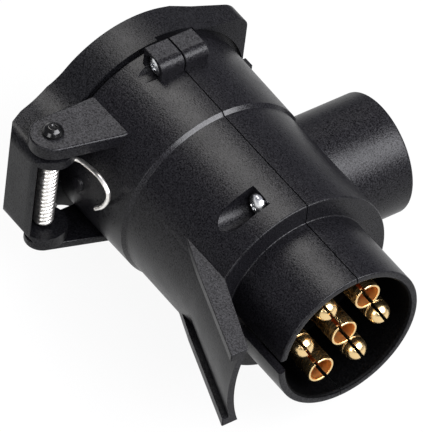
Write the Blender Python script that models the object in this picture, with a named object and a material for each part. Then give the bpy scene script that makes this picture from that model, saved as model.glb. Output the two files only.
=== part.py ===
"""Trailer wiring connector: a 7-pole plug in front, a 13-pole socket with a sprung lid behind, a side stub.

The plug frame has its origin at the centre of the plug's mouth, +X out of the mouth, +Y towards the side stub
and +Z up. Every piece hangs on the empty "connector", which lifts that frame so that the lowest point is at
Z = 0 and the length and width are centred.
"""

import math

import bmesh
import bpy
from mathutils import Vector

MM = 0.001
GAP = 0.3 * MM
ROUND = 48

# How far cutting shapes reach past what they cut
PAST = 2 * MM
FAR = 60 * MM
OUTSIDE_Y = -50 * MM
LID_REACH = 32 * MM
LID_FACE_CUT_X = (-100 * MM, -60 * MM)
SOCKET_HOLE_X = (-90 * MM, -50 * MM)
ARM_SINK = 3 * MM
ARM_STEP = 0.5 * MM

# Plug shroud and casing, as radii and places along X
SHROUD_R = 20.75 * MM
SHROUD_BORE_R = 18.5 * MM
STEP_X = -21.9 * MM
FRONT_R = 26.6 * MM
FRONT_INNER_R = 24.0 * MM
RING_FRONT_X = -57.6 * MM
RING_REAR_X = -58.6 * MM
REAR_R = 27.4 * MM
REAR_END_R = 27.8 * MM
REAR_INNER_R = 24.8 * MM
REAR_X = -85.5 * MM
RIM_CHAMFER = 0.4 * MM
STEP_CHAMFER = 0.5 * MM
KEYWAY_WIDTH = 4.3 * MM
KEYWAY_LENGTH = 18.0 * MM
KEYWAY_Y = (-22 * MM, -17 * MM)

# Collars inside the casing that hold the plug insert and the socket housing
INSERT_COLLAR_REAR_X = -33.0 * MM
INSERT_COLLAR_R = 17.0 * MM
GROOVE_REAR_X = -29.0 * MM
GROOVE_FRONT_X = -24.0 * MM
GROOVE_R = 20.0 * MM
HOUSING_STOP_FRONT_X = -55.0 * MM
HOUSING_STOP_REAR_X = -57.2 * MM
HOUSING_STOP_R = 23.0 * MM
LIP_X = -83.9 * MM
LIP_R = 23.4 * MM

# Plug insert and its contacts
INSERT_FACE_X = -20.0 * MM
INSERT_BACK_X = -33.5 * MM
CONTACT_PITCH_R = 11.5 * MM
PIN_R = 3.0 * MM
PIN_TIP_X = -0.7 * MM
PIN_GROOVE_WIDTH = 0.5 * MM
PIN_GROOVE_DEPTH = 0.3 * MM
PIN_SLIT_LENGTH = 11.0 * MM
SLIT_WIDTH = 0.7 * MM
SLIT_ANGLE = math.radians(120)
TUBE_R = 3.7 * MM
TUBE_BORE_R = 3.1 * MM
TUBE_TIP_X = -1.75 * MM
TUBE_BORE_END_X = -15.0 * MM
TUBE_EDGE = 0.25 * MM
TUBE_SLIT_LENGTH = 5.0 * MM
SHANK_R = 2.2 * MM
SHANK_HOLE_R = 2.5 * MM
SHANK_END_X = -35.5 * MM
PIN_ANGLES = (0, 120, 180, 300)
TUBE_ANGLES = (60, 240)

# 13-pole socket
HOUSING_R = REAR_INNER_R - GAP
HOUSING_BORE_R = 20.0 * MM
HOUSING_RIM_X = -85.2 * MM
HOUSING_FLOOR_X = -61.2 * MM
HOUSING_BACK_X = HOUSING_STOP_REAR_X - GAP
TOWER_R = 14.2 * MM
TOWER_FACE_X = -82.0 * MM
SLEEVE_R = 1.95 * MM
SLEEVE_BORE_R = 1.3 * MM
SLEEVE_HOLE_R = SLEEVE_R + GAP
SLEEVE_MOUTH_X = -81.7 * MM
SLEEVE_BORE_END_X = -67.7 * MM
SLEEVE_END_X = -54.3 * MM
OUTER_SLEEVES = 8
OUTER_SLEEVE_R = 10.6 * MM
INNER_SLEEVES = 5
INNER_SLEEVE_R = 5.2 * MM
WIRE_R = 0.9 * MM

# Side stub
STUB_X = -49.2 * MM
STUB_R = 16.2 * MM
STUB_BORE_R = 13.6 * MM
STUB_END_Y = 43.6 * MM
STUB_WALL = 2.6 * MM
STUB_ROOT_Y = 12.0 * MM
STUB_BORE_START_Y = 8.0 * MM
STUB_CHAMFER = 0.6 * MM

# Retaining hook on the left shell: a coned web between an upper and a lower wall
HOOK_ROOT = (-38.3 * MM, -23.3 * MM)
HOOK_BEND = (-27.8 * MM, -27.3 * MM)
HOOK_TIP_Y = -36.7 * MM
HOOK_UPPER_WALL_Z = (10.8 * MM, 12.9 * MM)
HOOK_LOWER_WALL_Z = (-12.2 * MM, -9.8 * MM)
HOOK_INNER_TIP_R = 34.2 * MM
HOOK_OUTER_TIP_R = 36.2 * MM
HOOK_OUTER_SLOPE = 0.325

# Screws through the two shells, along Y
SCREW_R = 1.25 * MM
SCREW_HOLE_R = SCREW_R + GAP
SCREW_HEAD_R = 2.8 * MM
SCREW_HEAD_HEIGHT = 2.0 * MM
SCREW_POINT_LENGTH = 1.1 * MM
CROSS_ARM = 1.5 * MM
CROSS_HALF_WIDTH = 0.32 * MM
CROSS_DEPTH = 1.1 * MM
FRONT_SCREW_X = -31.5 * MM
FRONT_SCREW_Z = 22.6 * MM
FRONT_SEAT_Y = -7.0 * MM
FRONT_SEAT_R = 3.6 * MM
FRONT_HOLE_END_Y = 8.5 * MM
REAR_SCREW_X = -79.0 * MM
REAR_SCREW_Z = 28.6 * MM
REAR_SEAT_Y = -4.6 * MM
REAR_SEAT_R = 3.1 * MM
REAR_HOLE_END_Y = 5.0 * MM
REAR_BOSS_X = (-82.9 * MM, -74.9 * MM)
REAR_BOSS_Y = (-7.2 * MM, 7.1 * MM)
REAR_BOSS_Z = 32.2 * MM
REAR_BOSS_ROUND = 2.6 * MM
FRONT_BOSS_X = (-37.0 * MM, -26.5 * MM)
FRONT_BOSS_Y = (-19.5 * MM, 11.0 * MM)
FRONT_BOSS_Z = (14.5 * MM, 25.0 * MM)
WALL_OVERLAP = 1.2 * MM

# Lid hinge: ears on the left shell, a pin, and a coil spring round it
HINGE_X = -79.4 * MM
HINGE_Y = -35.7 * MM
EAR_INNER_Z = 15.5 * MM
EAR_TOP_Z = 19.5 * MM
EAR_BOTTOM_Z = -17.7 * MM
UPPER_EAR_END_R = 6.0 * MM
LOWER_EAR_END_R = 4.5 * MM
EAR_FRONT = (-70.0 * MM, -21.0 * MM)
EAR_ROOT_Y = -15.0 * MM
PIN_SHAFT_R = 1.05 * MM
PIN_HOLE_R = PIN_SHAFT_R + GAP
PIN_HOLE_REACH = EAR_TOP_Z + PAST
PIN_HEAD_R = 2.75 * MM
PIN_HEAD_RIM = 0.5 * MM
PIN_DOME_HEIGHT = 1.5 * MM
PIN_FOOT_LENGTH = 0.8 * MM
SPRING_MEAN_R = 2.0 * MM
SPRING_WIRE_R = 0.6 * MM
SPRING_TURNS = 16.5
SPRING_STEPS_PER_TURN = 14
SPRING_LOW_Z = -10.8 * MM
SPRING_HIGH_Z = 10.4 * MM
SPRING_LEG_KNOTS_MM = (
    (-67.6, -29.0, 0.1),
    (-65.2, -29.0, 2.8),
    (-63.5, -29.0, 6.1),
    (-63.3, -29.0, 8.6),
    (-64.5, -29.0, 10.1),
    (-67.5, -29.0, 11.1),
    (-71.9, -29.0, 10.6),
    (-75.2, -29.5, 10.4),
    (-77.0, -31.0, 10.4),
    (-77.4, -33.4, 10.4),
)
SPRING_FOOT_STEPS_MM = ((0.0, 1.5, 0.0), (-0.3, 3.5, 0.0), (-0.7, 5.5, 0.0))
PEG_X = -77.0 * MM
PEG_R = 2.0 * MM
PEG_END_Y = -28.4 * MM

# Lid
LID_FRONT_X = -86.0 * MM
LID_BACK_X = -96.0 * MM
LID_R = 29.0 * MM
LID_SIDE_Y = 27.6 * MM
LID_ARM_Y = -42.0 * MM
LID_ARM_HALF_HEIGHT = EAR_INNER_Z - GAP
LID_ARM_BOTTOM_ROUND = 5.0 * MM
LID_TAPER_X = -91.0 * MM
LID_TAPER_END_Y = 10.0 * MM
LID_HEEL_MM = ((-96.0, -26.0), (-95.4, -28.3), (-93.1, -35.7), (-91.1, -39.5), (-88.0, -42.0))
LID_ARM_FRONT_Y = -29.2 * MM
LID_CORNER_R = 4.0 * MM
LID_CORNER_Z = 20.3 * MM
LID_SHOULDER = (15.6 * MM, 25.8 * MM)
LID_NECK_Y = -25.2 * MM
KNUCKLE_R = HINGE_Y - LID_ARM_Y
LID_CAVITY_R = 19.0 * MM
LID_CAVITY_X = -91.0 * MM
GASKET_SEAT_R = 24.3 * MM
GASKET_SEAT_X = -88.5 * MM
GASKET_R = (20.5 * MM, 24.0 * MM)
GASKET_X = (-88.2 * MM, -85.7 * MM)
WINDOW_Z = (-11.7 * MM, 12.6 * MM)
WINDOW_BACK_X = -84.0 * MM
WINDOW_WALL_Y = -40.8 * MM
WINDOW_FRONT_X = -60.0 * MM
WINDOW_INNER_Y = -20.0 * MM
WINDOW_MOUTH_OUTER = (-66.6 * MM, OUTSIDE_Y)
WINDOW_MOUTH_INNER = (-79.6 * MM, -39.0 * MM)
TAB_END_Y = 31.0 * MM
TAB_HALF_HEIGHT = 5.0 * MM
TAB_BACK_X = -89.0 * MM

# The plug frame's place in the world
FRAME_PLACE = Vector((-LID_BACK_X / 2, -(STUB_END_Y + LID_ARM_Y) / 2, REAR_BOSS_Z))


def clear_scene():
    for thing in list(bpy.data.objects):
        bpy.data.objects.remove(thing, do_unlink=True)


def make_material(name, colour, roughness, metallic=0.0):
    made = bpy.data.materials.new(name)
    made.use_nodes = True
    shader = made.node_tree.nodes["Principled BSDF"]
    shader.inputs["Base Color"].default_value = (*colour, 1.0)
    shader.inputs["Roughness"].default_value = roughness
    shader.inputs["Metallic"].default_value = metallic
    made.diffuse_color = (*colour, 1.0)
    return made


def black_plastic(name, shade=0.016):
    return make_material(name, (shade, shade, shade * 1.06), 0.42)


def brass(name):
    return make_material(name, (0.83, 0.56, 0.22), 0.24, 1.0)


def steel(name):
    return make_material(name, (0.72, 0.72, 0.73), 0.28, 1.0)


def make_empty(name, place, parent=None):
    made = bpy.data.objects.new(name, None)
    made.empty_display_size = 5 * MM
    made.location = place
    made.parent = parent
    bpy.context.scene.collection.objects.link(made)
    return made


def make_object(name, data, parent):
    """An object whose points are given in the plug frame, under a parent that may stand elsewhere in it."""
    made = bpy.data.objects.new(name, data)
    made.parent = parent
    if parent.parent is not None:
        made.location = -parent.location
    bpy.context.scene.collection.objects.link(made)
    return made


def mesh_object(name, shape, parent):
    bmesh.ops.remove_doubles(shape, verts=shape.verts, dist=1e-7)
    bmesh.ops.recalc_face_normals(shape, faces=shape.faces)
    mesh = bpy.data.meshes.new(name)
    shape.to_mesh(mesh)
    shape.free()
    mesh.shade_smooth()
    mesh.set_sharp_from_angle(angle=math.radians(32))
    return make_object(name, mesh, parent)


def turned(name, outline, parent, centre=(0, 0, 0), axis="X", steps=ROUND):
    """A closed outline of (place along the axis, radius), turned about the axis through centre."""
    along = Vector([letter == axis for letter in "XYZ"])
    out = Vector((0, 0, 1)) if axis == "Y" else Vector((0, 1, 0))
    centre = Vector(centre)
    shape = bmesh.new()
    points = [shape.verts.new(centre + along * place + out * radius) for place, radius in outline]
    edges = []
    for i, point in enumerate(points):
        j = (i + 1) % len(points)
        if outline[i][1] > 0 or outline[j][1] > 0:
            edges.append(shape.edges.new((point, points[j])))
    bmesh.ops.spin(
        shape, geom=points + edges, cent=centre, axis=along, angle=math.tau, steps=steps, use_merge=True
    )
    return mesh_object(name, shape, parent)


def prism(name, outline, low, high, parent, axis="Z"):
    """A flat outline, in the two axes other than axis and in their order, extruded from low to high."""
    where = "XYZ".index(axis)
    shape = bmesh.new()
    corners = []
    for pair in outline:
        point = list(pair)
        point.insert(where, low)
        corners.append(shape.verts.new(point))
    face = shape.faces.new(corners)
    grown = bmesh.ops.extrude_face_region(shape, geom=[face])["geom"]
    rise = Vector([(high - low) * (letter == axis) for letter in "XYZ"])
    moved = [item for item in grown if isinstance(item, bmesh.types.BMVert)]
    bmesh.ops.translate(shape, verts=moved, vec=rise)
    return mesh_object(name, shape, parent)


def block(name, x, y, z, parent):
    corners = [(x[0], y[0]), (x[1], y[0]), (x[1], y[1]), (x[0], y[1])]
    return prism(name, corners, z[0], z[1], parent)


def rod(name, radius, start, end, parent, centre=(0, 0, 0), axis="X", steps=24):
    outline = [(start, 0), (start, radius), (end, radius), (end, 0)]
    return turned(name, outline, parent, centre, axis, steps)


def combine(target, tool, operation):
    """Adds, cuts or keeps with a helper, which is left out of the render."""
    tool.hide_render = True
    tool.display_type = "WIRE"
    change = target.modifiers.new(tool.name, "BOOLEAN")
    change.operation = operation
    change.object = tool


def arc(centre, radius, first, last, count):
    """Points of an arc in degrees, both ends included."""
    turns = [math.radians(first + (last - first) * i / (count - 1)) for i in range(count)]
    return [(centre[0] + radius * math.cos(t), centre[1] + radius * math.sin(t)) for t in turns]


def sweep(name, points, radius, sides_step, parent):
    """A round wire along the points, as a curve with filled ends."""
    path = bpy.data.curves.new(name, "CURVE")
    path.dimensions = "3D"
    path.bevel_depth = radius
    path.bevel_resolution = sides_step
    path.use_fill_caps = True
    path.twist_mode = "MINIMUM"
    line = path.splines.new("POLY")
    line.points.add(len(points) - 1)
    for place, point in zip(line.points, points):
        place.co = (*point, 1.0)
    return make_object(name, path, parent)


def smooth_line(knots, per_span):
    """Points on a Catmull-Rom curve through the knots."""
    knots = [Vector(knot) for knot in knots]
    ends = [2 * knots[0] - knots[1], *knots, 2 * knots[-1] - knots[-2]]
    points = []
    for a, b, c, d in zip(ends, ends[1:], ends[2:], ends[3:]):
        for i in range(per_span):
            t = i / per_span
            square = (2 * a - 5 * b + 4 * c - d) * t * t
            cube = (3 * b - a - 3 * c + d) * t**3
            points.append(0.5 * (2 * b + (c - a) * t + square + cube))
    return [*points, knots[-1]]


def around(radius, degrees):
    """(y, z) at an angle from +Y towards +Z."""
    return radius * math.cos(math.radians(degrees)), radius * math.sin(math.radians(degrees))


# Casing: two shells that meet on the plane Y = 0


def chamber_outline():
    """The casing's inside between the rear lip and the insert's collar."""
    return [
        (LIP_X, REAR_INNER_R),
        (HOUSING_STOP_REAR_X, REAR_INNER_R),
        (HOUSING_STOP_REAR_X, HOUSING_STOP_R),
        (HOUSING_STOP_FRONT_X, HOUSING_STOP_R),
        (HOUSING_STOP_FRONT_X, FRONT_INNER_R),
        (INSERT_COLLAR_REAR_X, FRONT_INNER_R),
    ]


def inner_outline():
    """The casing's inside, from the rear lip to the mouth."""
    return [
        (REAR_X, LIP_R),
        (LIP_X, LIP_R),
        *chamber_outline(),
        (INSERT_COLLAR_REAR_X, INSERT_COLLAR_R),
        (GROOVE_REAR_X, INSERT_COLLAR_R),
        (GROOVE_REAR_X, GROOVE_R),
        (GROOVE_FRONT_X, GROOVE_R),
        (GROOVE_FRONT_X, SHROUD_BORE_R),
        (-RIM_CHAMFER, SHROUD_BORE_R),
        (0, SHROUD_BORE_R + RIM_CHAMFER),
    ]


def outer_outline():
    """The casing's outside, from the mouth to the rear end."""
    return [
        (0, SHROUD_R - RIM_CHAMFER),
        (-RIM_CHAMFER, SHROUD_R),
        (STEP_X, SHROUD_R),
        (STEP_X, FRONT_R - STEP_CHAMFER),
        (STEP_X - STEP_CHAMFER, FRONT_R),
        (RING_FRONT_X, FRONT_R),
        (RING_REAR_X, REAR_R),
        (REAR_X + STEP_CHAMFER, REAR_END_R),
        (REAR_X, REAR_END_R - STEP_CHAMFER),
    ]


def add_rear_bosses(shell, parent):
    """A screw block above and below, with its front edge rounded."""
    for sign, place in ((1, "upper"), (-1, "lower")):
        corner = (REAR_BOSS_X[1] - REAR_BOSS_ROUND, REAR_BOSS_Z - REAR_BOSS_ROUND)
        root_z = REAR_R - WALL_OVERLAP
        outline = [
            (REAR_BOSS_X[0], root_z),
            (REAR_BOSS_X[1], root_z),
            *arc(corner, REAR_BOSS_ROUND, 0, 90, 7),
            (REAR_BOSS_X[0], REAR_BOSS_Z),
        ]
        outline = [(x, sign * z) for x, z in outline]
        name = f"{shell.name}_{place}_rear_boss"
        boss = prism(name, outline, *REAR_BOSS_Y, parent, axis="Y")
        combine(shell, boss, "UNION")


def add_front_bosses(shell, parent):
    """A screw block inside the wall above and below, shaped to the insert's collar."""
    wall = FRONT_R - WALL_OVERLAP
    clear_r = INSERT_COLLAR_R + GAP
    rear, front = FRONT_BOSS_X[0] - MM, FRONT_BOSS_X[1] + MM
    ring = [
        (rear, clear_r),
        (GROOVE_REAR_X, clear_r),
        (GROOVE_REAR_X, GROOVE_R),
        (front, GROOVE_R),
        (front, wall),
        (rear, wall),
    ]
    for sign, place in ((1, "upper"), (-1, "lower")):
        name = f"{shell.name}_{place}_front_boss"
        height = sorted(sign * z for z in FRONT_BOSS_Z)
        boss = block(name, FRONT_BOSS_X, FRONT_BOSS_Y, height, parent)
        combine(boss, turned(f"{name}_ring", ring, parent), "INTERSECT")
        combine(shell, boss, "UNION")


def cut_screw_holes(shell, parent):
    """Clearance holes through both shells, and the seats for the heads on the left."""
    holes = (
        ("front", FRONT_SCREW_X, FRONT_SCREW_Z, FRONT_SEAT_Y, FRONT_SEAT_R, FRONT_HOLE_END_Y),
        ("rear", REAR_SCREW_X, REAR_SCREW_Z, REAR_SEAT_Y, REAR_SEAT_R, REAR_HOLE_END_Y),
    )
    for place, x, z, seat_y, seat_r, end_y in holes:
        outline = [
            (OUTSIDE_Y, 0),
            (OUTSIDE_Y, seat_r),
            (seat_y, seat_r),
            (seat_y, SCREW_HOLE_R),
            (end_y, SCREW_HOLE_R),
            (end_y, 0),
        ]
        for sign, side in ((1, "upper"), (-1, "lower")):
            name = f"{shell.name}_{side}_{place}_hole"
            hole = turned(name, outline, parent, (x, 0, sign * z), "Y", 24)
            combine(shell, hole, "DIFFERENCE")
            if place == "front":
                height = sorted((sign * z, sign * FRONT_R))
                slot = block(f"{name}_slot", (x - seat_r, x + seat_r), (OUTSIDE_Y, seat_y), height, parent)
                combine(shell, slot, "DIFFERENCE")


def half_casing(name, side, finish, parent, add_side_features):
    """One shell: side is -1 for the left half, at -Y, and 1 for the right."""
    shell = turned(name, outer_outline() + inner_outline(), parent)
    shell.data.materials.append(finish)
    add_rear_bosses(shell, parent)
    add_front_bosses(shell, parent)
    add_side_features(shell, parent)
    cut_screw_holes(shell, parent)
    kept_y = sorted((side * GAP / 2, side * FAR))
    kept = block(f"{name}_side", (LID_BACK_X, PAST), kept_y, (-FAR, FAR), parent)
    combine(shell, kept, "INTERSECT")
    return shell


def hook(shell, parent):
    """The hook for the mating plug's cover: a web coned inside and out, between two straight walls."""
    plan = [
        HOOK_ROOT,
        HOOK_BEND,
        (0, HOOK_TIP_Y),
        (0, -SHROUD_R),
        (HOOK_ROOT[0], -SHROUD_R),
    ]
    made = prism(f"{shell.name}_hook", plan, HOOK_LOWER_WALL_Z[0], HOOK_UPPER_WALL_Z[1], parent)
    wall = FRONT_R - WALL_OVERLAP
    rear = HOOK_ROOT[0] - PAST
    web = [
        (rear, 0),
        (rear, wall),
        (-(HOOK_OUTER_TIP_R - wall) / HOOK_OUTER_SLOPE, wall),
        (PAST, HOOK_OUTER_TIP_R + HOOK_OUTER_SLOPE * PAST),
        (PAST, 0),
    ]
    between = (HOOK_LOWER_WALL_Z[1], HOOK_UPPER_WALL_Z[0])
    channel = block(f"{shell.name}_hook_channel", (rear, PAST), (OUTSIDE_Y, -SHROUD_R), between, parent)
    combine(channel, turned(f"{shell.name}_hook_web", web, parent), "DIFFERENCE")
    combine(made, channel, "DIFFERENCE")
    slope = (HOOK_INNER_TIP_R - FRONT_R) / -STEP_X
    inside = [
        (rear, 0),
        (rear, wall),
        (STEP_X - MM, wall),
        (STEP_X, FRONT_R),
        (PAST, HOOK_INNER_TIP_R + slope * PAST),
        (PAST, 0),
    ]
    combine(made, turned(f"{shell.name}_hook_inside", inside, parent), "DIFFERENCE")
    combine(shell, made, "UNION")


def ears(shell, parent):
    """The two hinge ears, rounded about the pin."""
    inside_wall = REAR_R - WALL_OVERLAP
    layers = (
        ("upper", UPPER_EAR_END_R, EAR_INNER_Z, EAR_TOP_Z),
        ("lower", LOWER_EAR_END_R, EAR_BOTTOM_Z, -EAR_INNER_Z),
    )
    for place, end_r, low, high in layers:
        outline = [
            (HINGE_X - end_r, EAR_ROOT_Y),
            *arc((HINGE_X, HINGE_Y), end_r, 180, 345, 14),
            EAR_FRONT,
            (EAR_FRONT[0], EAR_ROOT_Y),
        ]
        name = f"{shell.name}_{place}_ear"
        ear = prism(name, outline, low, high, parent)
        root = rod(f"{name}_root", inside_wall, LID_FRONT_X, EAR_FRONT[0] + PAST, parent, steps=ROUND)
        combine(ear, root, "DIFFERENCE")
        combine(shell, ear, "UNION")
    centre = (HINGE_X, HINGE_Y, 0)
    hole = rod(f"{shell.name}_pin_hole", PIN_HOLE_R, -PIN_HOLE_REACH, PIN_HOLE_REACH, parent, centre, "Z", 16)
    combine(shell, hole, "DIFFERENCE")


def left_features(shell, parent):
    hook(shell, parent)
    ears(shell, parent)
    peg = rod(f"{shell.name}_peg", PEG_R, WALL_OVERLAP - REAR_R, PEG_END_Y, parent, (PEG_X, 0, 0), "Y", 16)
    combine(shell, peg, "UNION")
    half = KEYWAY_WIDTH / 2
    keyway = block(f"{shell.name}_keyway", (-KEYWAY_LENGTH, PAST), KEYWAY_Y, (-half, half), parent)
    combine(shell, keyway, "DIFFERENCE")


def right_features(shell, parent):
    """The side stub, hollow and open to the casing's inside."""
    outline = [
        (STUB_ROOT_Y, 0),
        (STUB_ROOT_Y, STUB_R),
        (STUB_END_Y - STUB_CHAMFER, STUB_R),
        (STUB_END_Y, STUB_R - STUB_CHAMFER),
        (STUB_END_Y, 0),
    ]
    stub = turned(f"{shell.name}_stub", outline, parent, (STUB_X, 0, 0), "Y")
    chamber = [(LIP_X, 0), *chamber_outline(), (INSERT_COLLAR_REAR_X, 0)]
    combine(stub, turned(f"{shell.name}_stub_trim", chamber, parent), "DIFFERENCE")
    combine(shell, stub, "UNION")
    reach = (STUB_BORE_START_Y, STUB_END_Y - STUB_WALL)
    bore = rod(f"{shell.name}_stub_bore", STUB_BORE_R, *reach, parent, (STUB_X, 0, 0), "Y", ROUND)
    combine(shell, bore, "DIFFERENCE")


# Plug end


def plug_insert(finish, parent, places):
    outline = [
        (INSERT_FACE_X, 0),
        (INSERT_FACE_X, SHROUD_BORE_R - GAP),
        (GROOVE_FRONT_X - GAP, SHROUD_BORE_R - GAP),
        (GROOVE_FRONT_X - GAP, GROOVE_R - GAP),
        (GROOVE_REAR_X + GAP, GROOVE_R - GAP),
        (GROOVE_REAR_X + GAP, INSERT_COLLAR_R - GAP),
        (INSERT_BACK_X, INSERT_COLLAR_R - GAP),
        (INSERT_BACK_X, 0),
    ]
    insert = turned("plug_insert", outline, parent)
    insert.data.materials.append(finish)
    for i, (y, z) in enumerate(places):
        hole = rod(f"plug_insert_hole_{i}", SHANK_HOLE_R, SHANK_END_X, 0, parent, (0, y, z), steps=16)
        combine(insert, hole, "DIFFERENCE")


def cut_slit(contact, y, z, radius, start_x, parent):
    """Splits a contact from start_x to past its tip."""
    half = SLIT_WIDTH / 2
    wide = radius + PAST
    slit = block(f"{contact.name}_slit", (start_x, PAST), (-wide, wide), (-half, half), parent)
    slit.location = Vector((0, y, z))
    slit.rotation_euler = (SLIT_ANGLE, 0, 0)
    combine(contact, slit, "DIFFERENCE")


def plug_pin(name, y, z, finish, parent):
    """A domed pin, grooved behind its dome and split from its tip."""
    dome_x = PIN_TIP_X - PIN_R
    dome = arc((dome_x, 0), PIN_R, 0, 90, 5)
    groove_x = dome_x - PIN_GROOVE_WIDTH
    outline = [
        (PIN_TIP_X, 0),
        *dome[1:],
        (groove_x, PIN_R),
        (groove_x, PIN_R - PIN_GROOVE_DEPTH),
        (groove_x - PIN_GROOVE_WIDTH, PIN_R - PIN_GROOVE_DEPTH),
        (groove_x - PIN_GROOVE_WIDTH, PIN_R),
        (INSERT_FACE_X + GAP, PIN_R),
        (INSERT_FACE_X + GAP, SHANK_R),
        (SHANK_END_X, SHANK_R),
        (SHANK_END_X, 0),
    ]
    pin = turned(name, outline, parent, (0, y, z), steps=16)
    pin.data.materials.append(finish)
    cut_slit(pin, y, z, PIN_R, PIN_TIP_X - PIN_SLIT_LENGTH, parent)


def plug_tube(name, y, z, finish, parent):
    """An open contact tube, split at its mouth and closed at the bottom of its bore."""
    outline = [
        (TUBE_TIP_X - TUBE_EDGE, TUBE_BORE_R),
        (TUBE_TIP_X, TUBE_BORE_R + TUBE_EDGE / 2),
        (TUBE_TIP_X, TUBE_R - TUBE_EDGE),
        (TUBE_TIP_X - TUBE_EDGE, TUBE_R),
        (INSERT_FACE_X + GAP, TUBE_R),
        (INSERT_FACE_X + GAP, SHANK_R),
        (SHANK_END_X, SHANK_R),
        (SHANK_END_X, 0),
        (TUBE_BORE_END_X, 0),
        (TUBE_BORE_END_X, TUBE_BORE_R),
    ]
    tube = turned(name, outline, parent, (0, y, z), steps=20)
    tube.data.materials.append(finish)
    cut_slit(tube, y, z, TUBE_R, TUBE_TIP_X - TUBE_SLIT_LENGTH, parent)


def plug_contacts(parent):
    """Seven contacts on a hexagon and its centre; returns their (y, z) places."""
    places = []
    for number, degrees in enumerate(PIN_ANGLES, 1):
        y, z = around(CONTACT_PITCH_R, degrees)
        plug_pin(f"plug_pin_{number}", y, z, brass(f"plug_pin_{number}_brass"), parent)
        places.append((y, z))
    tubes = [(0.0, 0.0), *(around(CONTACT_PITCH_R, degrees) for degrees in TUBE_ANGLES)]
    for number, (y, z) in enumerate(tubes, 1):
        plug_tube(f"plug_tube_{number}", y, z, brass(f"plug_tube_{number}_brass"), parent)
        places.append((y, z))
    return places


# Socket end


def sleeve_places():
    outer = [around(OUTER_SLEEVE_R, 360 * i / OUTER_SLEEVES) for i in range(OUTER_SLEEVES)]
    inner = [around(INNER_SLEEVE_R, 90 + 360 * i / INNER_SLEEVES) for i in range(INNER_SLEEVES)]
    return outer + inner


def socket_housing(finish, parent, places):
    """A cup with a central tower that holds the sleeves."""
    outline = [
        (HOUSING_RIM_X, LIP_R - GAP),
        (HOUSING_RIM_X, HOUSING_BORE_R),
        (HOUSING_FLOOR_X, HOUSING_BORE_R),
        (HOUSING_FLOOR_X, TOWER_R),
        (TOWER_FACE_X, TOWER_R),
        (TOWER_FACE_X, 0),
        (HOUSING_BACK_X, 0),
        (HOUSING_BACK_X, HOUSING_R),
        (LIP_X + GAP, HOUSING_R),
        (LIP_X + GAP, LIP_R - GAP),
    ]
    housing = turned("socket_housing", outline, parent)
    housing.data.materials.append(finish)
    for i, (y, z) in enumerate(places):
        hole = rod(f"socket_hole_{i}", SLEEVE_HOLE_R, *SOCKET_HOLE_X, parent, (0, y, z), steps=12)
        combine(housing, hole, "DIFFERENCE")


def socket_sleeves(parent, places):
    outline = [
        (SLEEVE_MOUTH_X, SLEEVE_BORE_R),
        (SLEEVE_MOUTH_X, SLEEVE_R),
        (SLEEVE_END_X, SLEEVE_R),
        (SLEEVE_END_X, 0),
        (SLEEVE_BORE_END_X, 0),
        (SLEEVE_BORE_END_X, SLEEVE_BORE_R),
    ]
    for number, (y, z) in enumerate(places, 1):
        sleeve = turned(f"socket_sleeve_{number}", outline, parent, (0, y, z), steps=12)
        sleeve.data.materials.append(brass(f"socket_sleeve_{number}_brass"))


def jumper_wires(parent, contacts, sleeves):
    """A wire from each plug contact to the free sleeve nearest to it."""
    free = list(range(len(sleeves)))
    for number, (y, z) in enumerate(contacts, 1):
        nearest = min(free, key=lambda i: math.dist(sleeves[i], (y, z)))
        free.remove(nearest)
        end_y, end_z = sleeves[nearest]
        straight = 3 * MM
        start_x = SHANK_END_X - GAP
        end_x = SLEEVE_END_X + GAP
        knots = [
            (start_x, y, z),
            (start_x - straight, y, z),
            (end_x + straight, end_y, end_z),
            (end_x, end_y, end_z),
        ]
        wire = sweep(f"jumper_wire_{number}", smooth_line(knots, 3), WIRE_R, 1, parent)
        wire.data.materials.append(make_material(f"jumper_wire_{number}_cover", (0.05, 0.05, 0.3), 0.5))


# Fasteners


def screw(name, x, z, seat_y, end_y, parent):
    """A pan-head screw along Y with a cross recess."""
    top = seat_y - GAP - SCREW_HEAD_HEIGHT
    outline = [
        (top, 0),
        (top, SCREW_HEAD_R * 0.55),
        (top + 0.3 * MM, SCREW_HEAD_R * 0.82),
        (top + 0.9 * MM, SCREW_HEAD_R),
        (seat_y - GAP, SCREW_HEAD_R),
        (seat_y - GAP, SCREW_R),
        (end_y - GAP - SCREW_POINT_LENGTH, SCREW_R),
        (end_y - GAP, SCREW_R * 0.3),
        (end_y - GAP, 0),
    ]
    made = turned(name, outline, parent, (x, 0, z), "Y", 20)
    made.data.materials.append(steel(f"{name}_steel"))
    arm = CROSS_ARM
    half = CROSS_HALF_WIDTH
    deep = (top - MM, top + CROSS_DEPTH)
    cross = [
        (-arm, -half),
        (-half, -half),
        (-half, -arm),
        (half, -arm),
        (half, -half),
        (arm, -half),
        (arm, half),
        (half, half),
        (half, arm),
        (-half, arm),
        (-half, half),
        (-arm, half),
    ]
    recess = prism(f"{name}_recess", [(x + a, z + b) for a, b in cross], *deep, parent, axis="Y")
    combine(made, recess, "DIFFERENCE")


def screws(parent):
    for sign, side in ((1, "upper"), (-1, "lower")):
        front_z, rear_z = sign * FRONT_SCREW_Z, sign * REAR_SCREW_Z
        screw(f"{side}_front_screw", FRONT_SCREW_X, front_z, FRONT_SEAT_Y, FRONT_HOLE_END_Y, parent)
        screw(f"{side}_rear_screw", REAR_SCREW_X, rear_z, REAR_SEAT_Y, REAR_HOLE_END_Y, parent)


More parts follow.
